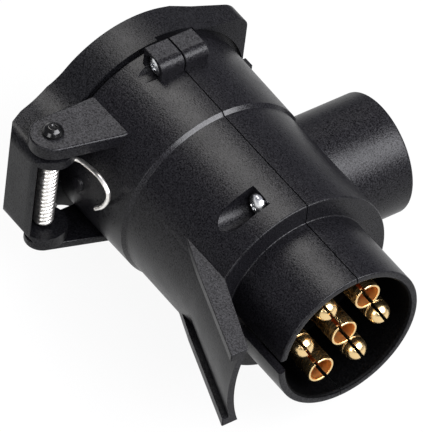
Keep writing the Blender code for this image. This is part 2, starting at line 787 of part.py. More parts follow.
def hinge_pin(parent):
    head = EAR_TOP_Z + GAP
    dome = head + PIN_HEAD_RIM
    foot = EAR_BOTTOM_Z - PIN_FOOT_LENGTH
    outline = [
        (foot, 0),
        (foot, PIN_SHAFT_R),
        (head, PIN_SHAFT_R),
        (head, PIN_HEAD_R),
        (dome, PIN_HEAD_R),
        (dome + PIN_DOME_HEIGHT * 0.6, PIN_HEAD_R * 0.75),
        (dome + PIN_DOME_HEIGHT, PIN_HEAD_R * 0.35),
        (dome + PIN_DOME_HEIGHT, 0),
    ]
    pin = turned("hinge_pin", outline, parent, (HINGE_X, HINGE_Y, 0), "Z", 20)
    pin.data.materials.append(make_material("hinge_pin_black", (0.01, 0.01, 0.011), 0.25, 0.0))


def spring_points():
    """The hooked leg that bears on the casing, the coil, and the short end that bears on the lid."""
    total = round(SPRING_TURNS * SPRING_STEPS_PER_TURN)
    coil = []
    for i in range(total + 1):
        turn = -math.tau * i / SPRING_STEPS_PER_TURN
        height = SPRING_HIGH_Z + (SPRING_LOW_Z - SPRING_HIGH_Z) * i / total
        x = HINGE_X + SPRING_MEAN_R * math.cos(turn)
        y = HINGE_Y + SPRING_MEAN_R * math.sin(turn)
        coil.append((x, y, height))
    leg = smooth_line([Vector(knot) * MM for knot in SPRING_LEG_KNOTS_MM], 3)
    last = Vector(coil[-1])
    foot = [last + Vector(step) * MM for step in SPRING_FOOT_STEPS_MM]
    return [*leg, *coil, *foot]


def hinge_spring(parent):
    spring = sweep("hinge_spring", spring_points(), SPRING_WIRE_R, 0, parent)
    spring.data.materials.append(steel("hinge_spring_steel"))


# Lid


def lid_side_outline():
    """The lid seen along Z: a tapered plate with a knuckle round the pin."""
    return [
        (LID_FRONT_X, LID_SIDE_Y + MM),
        (LID_TAPER_X, LID_SIDE_Y + MM),
        (LID_BACK_X, LID_TAPER_END_Y),
        *((x * MM, y * MM) for x, y in LID_HEEL_MM),
        *arc((HINGE_X, HINGE_Y), KNUCKLE_R, -90, 120, 17),
        (LID_FRONT_X, LID_ARM_FRONT_Y),
    ]


def lid_face_outline():
    """The lid seen along X: a disc with a square-cornered side at +Y and the hinge arm at -Y."""
    upper = [
        (LID_SIDE_Y, TAB_HALF_HEIGHT),
        *arc((LID_SIDE_Y - LID_CORNER_R, LID_CORNER_Z), LID_CORNER_R, 0, 85, 6),
        LID_SHOULDER,
        *arc((0, 0), LID_R, 75, 148, 16),
        (LID_NECK_Y, LID_ARM_HALF_HEIGHT),
        (LID_ARM_Y - ARM_SINK, LID_ARM_HALF_HEIGHT),
    ]
    round_centre = (LID_ARM_Y + LID_ARM_BOTTOM_ROUND, LID_ARM_BOTTOM_ROUND - LID_ARM_HALF_HEIGHT)
    lower = [
        (LID_ARM_Y - ARM_SINK, round_centre[1] + ARM_STEP),
        *arc(round_centre, LID_ARM_BOTTOM_ROUND, 180, 270, 7),
        *((y, -z) for y, z in reversed(upper[:-1])),
    ]
    return upper + lower


def lid(finish, parent):
    made = prism("lid", lid_side_outline(), -LID_REACH, LID_REACH, parent)
    made.data.materials.append(finish)
    face = prism("lid_face", lid_face_outline(), *LID_FACE_CUT_X, parent, axis="X")
    combine(made, face, "INTERSECT")
    tab = block(
        "lid_tab",
        (TAB_BACK_X, LID_FRONT_X),
        (LID_SIDE_Y - PAST, TAB_END_Y),
        (-TAB_HALF_HEIGHT, TAB_HALF_HEIGHT),
        parent,
    )
    combine(made, tab, "UNION")
    cavity = [
        (LID_FRONT_X + PAST, 0),
        (LID_FRONT_X + PAST, GASKET_SEAT_R),
        (GASKET_SEAT_X, GASKET_SEAT_R),
        (GASKET_SEAT_X, LID_CAVITY_R),
        (LID_CAVITY_X, LID_CAVITY_R),
        (LID_CAVITY_X, 0),
    ]
    combine(made, turned("lid_cavity", cavity, parent), "DIFFERENCE")
    reach = (WINDOW_WALL_Y, WINDOW_INNER_Y)
    window = block("lid_window", (WINDOW_BACK_X, WINDOW_FRONT_X), reach, WINDOW_Z, parent)
    combine(made, window, "DIFFERENCE")
    mouth = [
        WINDOW_MOUTH_OUTER,
        WINDOW_MOUTH_INNER,
        (WINDOW_MOUTH_INNER[0], WINDOW_INNER_Y),
        (WINDOW_FRONT_X, WINDOW_INNER_Y),
        (WINDOW_FRONT_X, OUTSIDE_Y),
    ]
    combine(made, prism("lid_window_mouth", mouth, *WINDOW_Z, parent), "DIFFERENCE")
    centre = (HINGE_X, HINGE_Y, 0)
    hole = rod("lid_pin_hole", PIN_HOLE_R, -PIN_HOLE_REACH, PIN_HOLE_REACH, parent, centre, "Z", 16)
    combine(made, hole, "DIFFERENCE")


def lid_gasket(parent):
    low, high = GASKET_X
    inner, outer = GASKET_R
    outline = [(high, inner), (high, outer), (low, outer), (low, inner)]
    ring = turned("lid_gasket", outline, parent)
    ring.data.materials.append(make_material("lid_gasket_rubber", (0.03, 0.03, 0.03), 0.8))


def main():
    clear_scene()
    connector = make_empty("connector", FRAME_PLACE)
    lid_hinge = make_empty("lid_hinge", (HINGE_X, HINGE_Y, 0), connector)
    half_casing("left_shell", -1, black_plastic("left_shell_plastic"), connector, left_features)
    half_casing("right_shell", 1, black_plastic("right_shell_plastic"), connector, right_features)
    contacts = plug_contacts(connector)
    plug_insert(black_plastic("plug_insert_plastic", 0.02), connector, contacts)
    sleeves = sleeve_places()
    socket_housing(black_plastic("socket_housing_plastic", 0.02), connector, sleeves)
    socket_sleeves(connector, sleeves)
    jumper_wires(connector, contacts, sleeves)
    screws(connector)
    hinge_pin(connector)
    hinge_spring(connector)
    lid(black_plastic("lid_plastic"), lid_hinge)
    lid_gasket(lid_hinge)


main()
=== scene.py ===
"""Looks of the trailer wiring connector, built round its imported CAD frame.

Sizes are in millimetres times MM, in the plug frame: origin at the centre of the plug's mouth, +X out of the
mouth, +Y towards the side stub, +Z up. PLACE takes that frame to the row frame. Meshes hold row-frame points.
"""

import math

import bmesh
import bpy
from mathutils import Matrix, Quaternion, Vector


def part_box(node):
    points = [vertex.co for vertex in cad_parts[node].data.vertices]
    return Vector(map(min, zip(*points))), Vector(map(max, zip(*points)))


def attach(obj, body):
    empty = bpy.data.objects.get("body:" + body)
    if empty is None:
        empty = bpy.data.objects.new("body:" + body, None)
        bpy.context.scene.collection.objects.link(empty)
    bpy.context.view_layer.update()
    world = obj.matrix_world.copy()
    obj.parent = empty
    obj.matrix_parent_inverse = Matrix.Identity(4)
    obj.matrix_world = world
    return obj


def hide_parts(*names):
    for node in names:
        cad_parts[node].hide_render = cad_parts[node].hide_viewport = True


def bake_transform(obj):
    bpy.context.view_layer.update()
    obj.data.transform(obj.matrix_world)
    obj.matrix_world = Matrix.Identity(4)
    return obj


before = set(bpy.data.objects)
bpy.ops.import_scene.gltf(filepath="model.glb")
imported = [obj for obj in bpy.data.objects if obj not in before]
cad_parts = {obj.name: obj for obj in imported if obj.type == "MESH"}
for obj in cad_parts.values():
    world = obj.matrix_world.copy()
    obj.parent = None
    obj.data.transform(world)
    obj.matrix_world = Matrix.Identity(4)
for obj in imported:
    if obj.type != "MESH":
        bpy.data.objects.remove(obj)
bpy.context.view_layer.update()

MM = 0.001
GAP = 0.3 * MM
TURN_STEPS = 192

# How far cutting and trimming shapes reach
PAST = 2 * MM
FAR = 60 * MM
OUTSIDE_Y = -50 * MM
WHOLE_X = (-120 * MM, 20 * MM)
PIN_HOLE_REACH = 25 * MM
SHANK_HOLE_X = (-50 * MM, -10 * MM)

# The plug frame's place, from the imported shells
STUB_END_Y = 43.6 * MM
CASING_LOW, CASING_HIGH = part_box("right_shell")
PLACE = Vector((CASING_HIGH.x, CASING_HIGH.y - STUB_END_Y, (CASING_LOW.z + CASING_HIGH.z) / 2))

# Casing
SHROUD_R = 20.75 * MM
SHROUD_BORE_R = 18.5 * MM
STEP_X = -21.9 * MM
FRONT_R = 26.6 * MM
FRONT_INNER_R = 24.0 * MM
RING_FRONT_X = -57.6 * MM
RING_REAR_X = -58.6 * MM
REAR_R = 27.4 * MM
REAR_END_R = 27.8 * MM
REAR_INNER_R = 24.8 * MM
REAR_X = -85.5 * MM
KEYWAY_WIDTH = 4.3 * MM
KEYWAY_LENGTH = 18.0 * MM
KEYWAY_Y = (-22 * MM, -17 * MM)
INSERT_COLLAR_REAR_X = -33.0 * MM
INSERT_COLLAR_R = 17.0 * MM
GROOVE_REAR_X = -29.0 * MM
GROOVE_FRONT_X = -24.0 * MM
GROOVE_R = 20.0 * MM
MOUTH_ROUND = 0.9 * MM
HOUSING_STOP_FRONT_X = -55.0 * MM
HOUSING_STOP_REAR_X = -57.2 * MM
HOUSING_STOP_R = 23.0 * MM
LIP_X = -83.9 * MM
LIP_R = 23.4 * MM
WALL_OVERLAP = 1.2 * MM
EDGE_ROUND = 0.16 * MM

# Side stub
STUB_X = -49.2 * MM
STUB_R = 16.2 * MM
STUB_BORE_R = 13.6 * MM
STUB_WALL = 2.6 * MM
STUB_ROOT_Y = 12.0 * MM
STUB_BORE_START_Y = 8.0 * MM

# Retaining hook
HOOK_ROOT = (-38.3 * MM, -23.3 * MM)
HOOK_BEND = (-27.8 * MM, -27.3 * MM)
HOOK_TIP_Y = -36.7 * MM
HOOK_UPPER_WALL_Z = (10.8 * MM, 12.9 * MM)
HOOK_LOWER_WALL_Z = (-12.2 * MM, -9.8 * MM)
HOOK_INNER_TIP_R = 34.2 * MM
HOOK_OUTER_TIP_R = 36.2 * MM
HOOK_OUTER_SLOPE = 0.325
HOOK_CHANNEL_INNER_Y = -20 * MM
HOOK_EDGE = 0.25 * MM

# Screw bosses and seats
SCREW_R = 1.25 * MM
SCREW_HEAD_R = 2.8 * MM
SCREW_HEAD_HEIGHT = 2.0 * MM
SCREW_CROWN_R = 4.2 * MM
SCREW_CROWN_DEPTH = 0.95 * MM
SCREW_POINT_LENGTH = 1.2 * MM
CROSS_ARM = 1.5 * MM
CROSS_HALF_WIDTH = 0.36 * MM
CROSS_DEPTH = 1.2 * MM
CROSS_MOUTH_SCALE = 1.25
CROSS_BOTTOM_SCALE = 0.45
FRONT_SCREW_X = -31.5 * MM
FRONT_SCREW_Z = 22.6 * MM
FRONT_SEAT_Y = -7.0 * MM
FRONT_SEAT_R = 3.6 * MM
REAR_SCREW_X = -79.0 * MM
REAR_SCREW_Z = 28.6 * MM
REAR_SEAT_Y = -4.6 * MM
REAR_SEAT_R = 3.1 * MM
REAR_BOSS_X = (-82.9 * MM, -74.9 * MM)
REAR_BOSS_Y = (-7.2 * MM, 7.1 * MM)
REAR_BOSS_Z = 32.2 * MM
REAR_BOSS_ROUND = 2.6 * MM
REAR_BOSS_CORNER = 0.3 * MM
REAR_BOSS_EDGE = 0.25 * MM
FRONT_BOSS_X = (-37.0 * MM, -26.5 * MM)
FRONT_BOSS_Y = (-19.5 * MM, 11.0 * MM)
FRONT_BOSS_Z = (14.5 * MM, 25.0 * MM)
FRONT_BOSS_RING_X = (-38.0 * MM, -25.5 * MM)

# Lid hinge
HINGE_X = -79.4 * MM
HINGE_Y = -35.7 * MM
EAR_INNER_Z = 15.5 * MM
EAR_TOP_Z = 19.5 * MM
EAR_BOTTOM_Z = -17.7 * MM
UPPER_EAR_END_R = 6.0 * MM
LOWER_EAR_END_R = 4.5 * MM
EAR_FRONT = (-70.0 * MM, -21.0 * MM)
EAR_ROOT_Y = -15.0 * MM
EAR_ROOT_X = (-90.0 * MM, -65.0 * MM)
UPPER_EAR_EDGE = 0.6 * MM
LOWER_EAR_EDGE = 0.4 * MM
PIN_SHAFT_R = 1.05 * MM
PIN_HEAD_R = 2.75 * MM
PIN_DIMPLE_DEPTH = 0.35 * MM
PEG_X = -77.0 * MM
PEG_R = 2.0 * MM
PEG_ROOT_Y = -26.0 * MM
PEG_END_Y = -28.4 * MM

# Lid
LID_FRONT_X = -86.0 * MM
LID_BACK_X = -96.0 * MM
LID_R = 29.0 * MM
LID_SIDE_Y = 27.6 * MM
LID_ARM_Y = -42.0 * MM
LID_ARM_HALF_HEIGHT = EAR_INNER_Z - GAP
LID_ARM_BOTTOM_ROUND = 5.0 * MM
LID_ARM_TOP_ROUND = 3.0 * MM
LID_REACH = 32.0 * MM
LID_FACE_X = (-100.0 * MM, -60.0 * MM)
LID_EDGE = 0.45 * MM
LID_TAPER_X = -91.0 * MM
LID_TAPER_END_Y = 10.0 * MM
LID_HEEL_MM = ((-96.0, -26.0), (-95.4, -28.3), (-93.1, -35.7), (-91.1, -39.5), (-88.0, -42.0))
LID_ARM_FRONT_Y = -29.2 * MM
LID_CORNER_R = 4.0 * MM
LID_CORNER_Z = 20.3 * MM
LID_SHOULDER = (15.6 * MM, 25.8 * MM)
LID_NECK_ANGLE = 136
LID_CAVITY_R = 19.0 * MM
LID_CAVITY_X = -91.0 * MM
LID_LAND_R = 27.0 * MM
LID_GROOVE_R = 27.9 * MM
LID_GROOVE_DEPTH = 1.2 * MM
LID_GROOVE_SHIFT = 1.3 * MM
LID_GROOVE_SIDE = (1.0, 1.73)
GASKET_SEAT_R = 24.3 * MM
GASKET_SEAT_X = -88.5 * MM
GASKET_R = (20.5 * MM, 24.0 * MM)
GASKET_X = (-88.2 * MM, -85.7 * MM)
WINDOW_Z = (-11.7 * MM, 12.6 * MM)
WINDOW_BACK_X = -84.0 * MM
WINDOW_WALL_Y = -40.8 * MM
WINDOW_FRONT_X = -60.0 * MM
WINDOW_INNER_Y = -20.0 * MM
WINDOW_MOUTH_OUTER = (-66.6 * MM, OUTSIDE_Y)
WINDOW_MOUTH_INNER = (-79.6 * MM, -39.0 * MM)
TAB_END_Y = 31.0 * MM
TAB_HALF_HEIGHT = 5.0 * MM
TAB_BACK_X = -89.0 * MM

# Contacts
INSERT_FACE_X = -20.0 * MM
INSERT_BACK_X = -33.5 * MM
SLIT_ANGLE = math.radians(120)
SLIT_WIDTH = 0.85 * MM
PIN_SLIT_LENGTH = 11.0 * MM
TUBE_SLIT_LENGTH = 5.0 * MM
TUBE_BORE_R = 3.1 * MM
TUBE_BORE_END_X = -15.0 * MM
SHANK_R = 2.2 * MM
PIN_GROOVE_DEPTH = 0.3 * MM
PIN_GROOVE_WIDTH = 0.5 * MM

# Hinge spring
SPRING_MEAN_R = 2.0 * MM
SPRING_WIRE_R = 0.6 * MM
SPRING_TURNS = 16.5
SPRING_STEPS_PER_TURN = 28
SPRING_LOW_Z = -10.8 * MM
SPRING_HIGH_Z = 10.4 * MM
SPRING_LEG_KNOTS_MM = (
    (-67.6, -29.0, 0.1),
    (-65.2, -29.0, 2.8),
    (-63.5, -29.0, 6.1),
    (-63.3, -29.0, 8.6),
    (-64.5, -29.0, 10.1),
    (-67.5, -29.0, 11.1),
    (-71.9, -29.0, 10.6),
    (-75.2, -29.5, 10.4),
    (-77.0, -31.0, 10.4),
    (-77.4, -33.4, 10.4),
)
SPRING_FOOT_STEPS_MM = ((0.0, 1.5, 0.0), (-0.3, 3.5, 0.0), (-0.7, 5.5, 0.0))

# Moulded grain
GRAIN_SCALE = 2600
GRAIN_DEPTH = 0.05 * MM

# Camera
CAMERA_AZIMUTH = math.radians(49.70)
CAMERA_ELEVATION = math.radians(45.03)
CAMERA_ROLL = math.radians(7.57)
CAMERA_PLACE = Vector((1.04184, -0.89239, 1.40382))
CAMERA_LENS = 652.28


# Shapes


def arc(centre, radius, first, last, count):
    """Points of an arc in degrees, both ends included."""
    turns = [math.radians(first + (last - first) * i / (count - 1)) for i in range(count)]
    return [(centre[0] + radius * math.cos(t), centre[1] + radius * math.sin(t)) for t in turns]


def fillet(corners, steps=5):
    """A closed outline in which each corner (a, b, radius) is rounded to that radius."""
    outline = []
    for i, (a, b, radius) in enumerate(corners):
        point = Vector((a, b))
        before = Vector(corners[i - 1][:2]) - point
        after = Vector(corners[(i + 1) % len(corners)][:2]) - point
        half = before.angle(after) / 2
        if radius <= 0 or half > math.radians(89):
            outline.append((a, b))
            continue
        cut = min(radius / math.tan(half), 0.45 * before.length, 0.45 * after.length)
        middle = point + (before.normalized() + after.normalized()).normalized() * (cut / math.cos(half))
        first = point + before.normalized() * cut - middle
        last = point + after.normalized() * cut - middle
        sweep_angle = math.pi - 2 * half
        for k in range(steps + 1):
            t = k / steps
            near = math.sin((1 - t) * sweep_angle)
            far = math.sin(t * sweep_angle)
            place = middle + (first * near + last * far) / math.sin(sweep_angle)
            outline.append((place.x, place.y))
    return outline


def sharp(points):
    return [(a, b, 0.0) for a, b in points]


def put_in_order(items, place):
    """Numbers points or faces by their places, so that every run cuts and rounds them alike."""
    for rank, item in enumerate(sorted(items, key=lambda item: tuple(place(item)))):
        item.index = rank
    items.sort()


def mesh_object(name, shape):
    """An object from a bmesh in the plug frame, moved to the row frame."""
    bmesh.ops.remove_doubles(shape, verts=shape.verts, dist=1e-7)
    bmesh.ops.recalc_face_normals(shape, faces=shape.faces)
    bmesh.ops.translate(shape, verts=shape.verts, vec=PLACE)
    put_in_order(shape.verts, lambda vert: vert.co)
    put_in_order(shape.faces, lambda face: face.calc_center_median())
    mesh = bpy.data.meshes.new(name)
    shape.to_mesh(mesh)
    shape.free()
    made = bpy.data.objects.new(name, mesh)
    bpy.context.scene.collection.objects.link(made)
    return made


def turned(name, outline, centre=(0, 0, 0), axis="X", steps=TURN_STEPS):
    """A closed outline of (place along the axis, radius), turned about the axis through centre."""
    along = Vector([letter == axis for letter in "XYZ"])
    out = Vector((0, 0, 1)) if axis == "Y" else Vector((0, 1, 0))
    centre = Vector(centre)
    shape = bmesh.new()
    points = [shape.verts.new(centre + along * place + out * radius) for place, radius in outline]
    edges = []
    for i, point in enumerate(points):
        j = (i + 1) % len(points)
        if outline[i][1] > 0 or outline[j][1] > 0:
            edges.append(shape.edges.new((point, points[j])))
    bmesh.ops.spin(
        shape, geom=points + edges, cent=centre, axis=along, angle=math.tau, steps=steps, use_merge=True
    )
    return mesh_object(name, shape)


def prism(name, outline, low, high, axis="Z", edge=0.0):
    """A flat outline in the two axes other than axis, extruded from low to high; edge rounds both ends."""
    where = "XYZ".index(axis)
    shape = bmesh.new()
    corners = []
    for pair in outline:
        point = list(pair)
        point.insert(where, low)
        corners.append(shape.verts.new(point))
    face = shape.faces.new(corners)
    grown = bmesh.ops.extrude_face_region(shape, geom=[face])["geom"]
    rise = Vector([(high - low) * (letter == axis) for letter in "XYZ"])
    moved = [item for item in grown if isinstance(item, bmesh.types.BMVert)]
    bmesh.ops.translate(shape, verts=moved, vec=rise)
    if edge > 0:
        rims = [e for e in shape.edges if abs(e.verts[0].co[where] - e.verts[1].co[where]) < 1e-9]
        bmesh.ops.bevel(
            shape, geom=rims, offset=edge, segments=3, profile=0.5, affect="EDGES", clamp_overlap=True
        )
    return mesh_object(name, shape)


def block(name, x, y, z):
    corners = [(x[0], y[0]), (x[1], y[0]), (x[1], y[1]), (x[0], y[1])]
    return prism(name, corners, z[0], z[1])


def rod(name, radius, start, end, centre=(0, 0, 0), axis="X", steps=64):
    return turned(name, [(start, 0), (start, radius), (end, radius), (end, 0)], centre, axis, steps)


def combine(target, tool, operation):
    """Adds, cuts or keeps with a helper, applies it and deletes the helper."""
    change = target.modifiers.new(tool.name, "BOOLEAN")
    change.operation = operation
    change.object = tool
    change.solver = "EXACT"
    apply_modifiers(target)
    helper_mesh = tool.data
    bpy.data.objects.remove(tool)
    bpy.data.meshes.remove(helper_mesh)


def apply_modifiers(piece):
    bpy.context.view_layer.update()
    graph = bpy.context.evaluated_depsgraph_get()
    mesh = bpy.data.meshes.new_from_object(piece.evaluated_get(graph))
    old = piece.data
    piece.modifiers.clear()
    piece.data = mesh
    mesh.name = piece.name
    bpy.data.meshes.remove(old)


def soften(piece, width, angle=40, segments=2):
    """Rounds the edges sharper than angle, then shades smooth apart from what is still sharp."""
    change = piece.modifiers.new("edges", "BEVEL")
    change.width = width
    change.segments = segments
    change.limit_method = "ANGLE"
    change.angle_limit = math.radians(angle)
    change.use_clamp_overlap = True
    change.harden_normals = False
    apply_modifiers(piece)
    shade(piece)


def shade(piece, angle=32):
    """Smooth shading led by the large faces, so that the edge rounds take all of the turn."""
    piece.data.shade_smooth()
    piece.data.set_sharp_from_angle(angle=math.radians(angle))
    change = piece.modifiers.new("normals", "WEIGHTED_NORMAL")
    change.mode = "FACE_AREA"
    change.weight = 60
    change.keep_sharp = True
    apply_modifiers(piece)


def clean(piece, distance=0.02 * MM):
    """Merges the slivers that cutting leaves behind."""
    shape = bmesh.new()
    shape.from_mesh(piece.data)
    bmesh.ops.remove_doubles(shape, verts=shape.verts, dist=distance)
    bmesh.ops.dissolve_degenerate(shape, edges=shape.edges, dist=distance)
    shape.to_mesh(piece.data)
    shape.free()


# Materials


def add_node(tree, kind, **values):
    made = tree.nodes.new(kind)
    for name, value in values.items():
        if hasattr(made, name):
            setattr(made, name, value)
        else:
            made.inputs[name.replace("_", " ")].default_value = value
    return made


def new_material(name, colour, roughness, metallic=0.0, specular=0.5):
    """A Principled material with its constants on the shader's own sockets."""
    made = bpy.data.materials.new(name)
    made.use_nodes = True
    shader = made.node_tree.nodes["Principled BSDF"]
    shader.inputs["Base Color"].default_value = (*colour, 1.0)
    shader.inputs["Roughness"].default_value = roughness
    shader.inputs["Metallic"].default_value = metallic
    shader.inputs["Specular IOR Level"].default_value = specular
    made.diffuse_color = (*colour, 1.0)
    return made


def noise(tree, scale, detail=2.0, stretch=None):
    """Noise in the piece's own coordinates; stretch scales the three axes."""
    places = add_node(tree, "ShaderNodeTexCoord")
    source = places.outputs["Object"]
    if stretch:
        mapping = add_node(tree, "ShaderNodeMapping")
        mapping.inputs["Scale"].default_value = stretch
        tree.links.new(source, mapping.inputs["Vector"])
        source = mapping.outputs["Vector"]
    texture = add_node(tree, "ShaderNodeTexNoise", Scale=scale, Detail=detail, Roughness=0.6)
    tree.links.new(source, texture.inputs["Vector"])
    return texture.outputs["Fac"]


def spread(tree, source, low, high, from_low=0.35, from_high=0.65):
    """A factor stretched to run from low to high."""
    ranged = add_node(tree, "ShaderNodeMapRange")
    ranged.inputs["From Min"].default_value = from_low
    ranged.inputs["From Max"].default_value = from_high
    ranged.inputs["To Min"].default_value = low
    ranged.inputs["To Max"].default_value = high
    tree.links.new(source, ranged.inputs["Value"])
    return ranged.outputs["Result"]


def tint(tree, source, first, second):
    """Two colours mixed by a factor."""
    mixed = add_node(tree, "ShaderNodeMix", data_type="RGBA")
    colours = [socket for socket in mixed.inputs if socket.type == "RGBA"]
    colours[0].default_value = (*first, 1.0)
    colours[1].default_value = (*second, 1.0)
    tree.links.new(source, mixed.inputs["Factor"])
    return [socket for socket in mixed.outputs if socket.type == "RGBA"][0]


def bump(tree, source, strength, distance):
    made = add_node(tree, "ShaderNodeBump", Strength=strength, Distance=distance)
    tree.links.new(source, made.inputs["Height"])
    shader = tree.nodes["Principled BSDF"]
    tree.links.new(made.outputs["Normal"], shader.inputs["Normal"])


def moulded_plastic(name, colour, roughness=0.42, specular=0.35, grain=1.0):
    """Black plastic with a spark-eroded grain: fine pits that sparkle where a light is mirrored."""
    made = new_material(name, colour, roughness, specular=specular)
    tree = made.node_tree
    shader = tree.nodes["Principled BSDF"]
    fine = noise(tree, GRAIN_SCALE, 1.0)
    broad = noise(tree, 160, 3.0)
    rough = add_node(tree, "ShaderNodeMath", operation="ADD")
    tree.links.new(spread(tree, fine, -0.12 * grain, 0.12 * grain, 0.2, 0.8), rough.inputs[0])
    tree.links.new(spread(tree, broad, roughness - 0.02, roughness + 0.03), rough.inputs[1])
    tree.links.new(rough.outputs["Value"], shader.inputs["Roughness"])
    dark = [0.4 * part for part in colour]
    light = [1.8 * part for part in colour]
    shade_of = tint(tree, spread(tree, fine, 0.0, 1.0, 0.3, 0.7), dark, light)
    tree.links.new(shade_of, shader.inputs["Base Color"])
    gloss = spread(tree, fine, (1 - 0.5 * grain) * specular, (1 + 0.6 * grain) * specular, 0.3, 0.7)
    tree.links.new(gloss, shader.inputs["Specular IOR Level"])
    bump(tree, fine, 1.0, GRAIN_DEPTH * grain)
    return made


def turned_brass(name, colour, roughness, recess_shade_colour, reach=(-16 * MM, 0)):
    """Brass with faint turning marks; its colour is darkened from the open end inwards, over reach along X,
    as painted shade deeper in the mouth and the bore.
    """
    made = new_material(name, colour, roughness, metallic=1.0)
    tree = made.node_tree
    shader = tree.nodes["Principled BSDF"]
    marks = noise(tree, 2200, 2.0, (1.0, 0.15, 0.15))
    places = add_node(tree, "ShaderNodeTexCoord")
    parts = add_node(tree, "ShaderNodeSeparateXYZ")
    tree.links.new(places.outputs["Object"], parts.inputs["Vector"])
    # painted shade: the colour darkens along X towards the back of the recess
    painted_shade_inward = spread(tree, parts.outputs["X"], 0.0, 1.0, PLACE.x + reach[0], PLACE.x + reach[1])
    tree.links.new(tint(tree, painted_shade_inward, recess_shade_colour, colour), shader.inputs["Base Color"])
    tree.links.new(spread(tree, marks, roughness - 0.04, roughness + 0.06), shader.inputs["Roughness"])
    bump(tree, marks, 0.15, 0.01 * MM)
    return made


def bright_steel(name, colour, roughness):
    """Zinc-plated or drawn steel with fine scratches."""
    made = new_material(name, colour, roughness, metallic=1.0)
    tree = made.node_tree
    shader = tree.nodes["Principled BSDF"]
    fine = noise(tree, 900, 2.0)
    worn = [part * 0.85 for part in colour]
    tree.links.new(tint(tree, spread(tree, fine, 0.0, 1.0), worn, colour), shader.inputs["Base Color"])
    tree.links.new(spread(tree, fine, roughness - 0.04, roughness + 0.05), shader.inputs["Roughness"])
    bump(tree, fine, 0.1, 0.01 * MM)
    return made


def matte_rubber(name, colour):
    made = new_material(name, colour, 0.75, specular=0.3)
    tree = made.node_tree
    shader = tree.nodes["Principled BSDF"]
    fine = noise(tree, 1800, 4.0)
    tree.links.new(spread(tree, fine, 0.65, 0.85), shader.inputs["Roughness"])
    bump(tree, fine, 0.4, 0.05 * MM)
    return made


def dress(piece, body, material, slot, *nodes):
    """Gives a piece its material and its body and hides the CAD nodes that it stands for; the slot argument
    is not used.
    """
    piece.data.materials.clear()
    piece.data.materials.append(material)
    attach(piece, body)
    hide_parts(*nodes)


# Casing


def chamber_outline():
    return [
        (LIP_X, REAR_INNER_R),
        (HOUSING_STOP_REAR_X, REAR_INNER_R),
        (HOUSING_STOP_REAR_X, HOUSING_STOP_R),
        (HOUSING_STOP_FRONT_X, HOUSING_STOP_R),
        (HOUSING_STOP_FRONT_X, FRONT_INNER_R),
        (INSERT_COLLAR_REAR_X, FRONT_INNER_R),
    ]


def casing_outline():
    """The casing's section, from the mouth's outer edge round to its inner edge, with the moulded rounds."""
    return fillet(
        [
            (0, SHROUD_R, 0.4 * MM),
            (STEP_X, SHROUD_R, 0.35 * MM),
            (STEP_X, FRONT_R, 0.45 * MM),
            (RING_FRONT_X, FRONT_R, 0.12 * MM),
            (RING_REAR_X, REAR_R, 0.15 * MM),
            (REAR_X, REAR_END_R, 0.5 * MM),
            (REAR_X, LIP_R, 0.3 * MM),
            (LIP_X, LIP_R, 0),
            *sharp(chamber_outline()),
            (INSERT_COLLAR_REAR_X, INSERT_COLLAR_R, 0),
            (GROOVE_REAR_X, INSERT_COLLAR_R, 0),
            (GROOVE_REAR_X, GROOVE_R, 0),
            (GROOVE_FRONT_X, GROOVE_R, 0),
            (GROOVE_FRONT_X, SHROUD_BORE_R, 0),
            (0, SHROUD_BORE_R, MOUTH_ROUND),
        ],
        4,
    )


def add_rear_bosses(shell, side):
    """A screw block above and below, in two halves that meet at the seam."""
    for sign in (1, -1):
        root_z = REAR_R - WALL_OVERLAP
        outline = fillet(
            [
                (REAR_BOSS_X[0], root_z, 0),
                (REAR_BOSS_X[1], root_z, 0),
                (REAR_BOSS_X[1], REAR_BOSS_Z, REAR_BOSS_ROUND),
                (REAR_BOSS_X[0], REAR_BOSS_Z, REAR_BOSS_CORNER),
            ],
            8,
        )
        outline = [(x, sign * z) for x, z in outline]
        reach = (GAP / 2, REAR_BOSS_Y[1]) if side > 0 else (REAR_BOSS_Y[0], -GAP / 2)
        boss = prism(f"boss_{sign}", outline, *reach, axis="Y", edge=REAR_BOSS_EDGE)
        combine(shell, boss, "UNION")


def cut_screw_seats(shell):
    """The pockets that hold the heads, on the left shell."""
    seats = (
        (FRONT_SCREW_X, FRONT_SCREW_Z, FRONT_SEAT_Y, FRONT_SEAT_R),
        (REAR_SCREW_X, REAR_SCREW_Z, REAR_SEAT_Y, REAR_SEAT_R),
    )
    for x, z, seat_y, seat_r in seats:
        for sign in (1, -1):
            hole = rod("seat", seat_r, OUTSIDE_Y, seat_y, (x, 0, sign * z), "Y", 72)
            combine(shell, hole, "DIFFERENCE")
            if z == FRONT_SCREW_Z:
                height = sorted((sign * z, sign * (FRONT_R + MM)))
                slot = block("slot", (x - seat_r, x + seat_r), (OUTSIDE_Y, seat_y), height)
                combine(shell, slot, "DIFFERENCE")
            shaft = rod("shaft", SCREW_R + GAP, seat_y - MM, MM, (x, 0, sign * z), "Y", 40)
            combine(shell, shaft, "DIFFERENCE")


def front_boss(shell):
    """Material behind the front screw seats, inside the wall."""
    wall = FRONT_R - WALL_OVERLAP
    rear, front = FRONT_BOSS_RING_X
    ring = [
        (rear, INSERT_COLLAR_R + GAP),
        (GROOVE_REAR_X, INSERT_COLLAR_R + GAP),
        (GROOVE_REAR_X, GROOVE_R),
        (front, GROOVE_R),
        (front, wall),
        (rear, wall),
    ]
    for sign in (1, -1):
        height = sorted(sign * z for z in FRONT_BOSS_Z)
        boss = block("front_boss", FRONT_BOSS_X, FRONT_BOSS_Y, height)
        combine(boss, turned("front_boss_ring", ring), "INTERSECT")
        combine(shell, boss, "UNION")


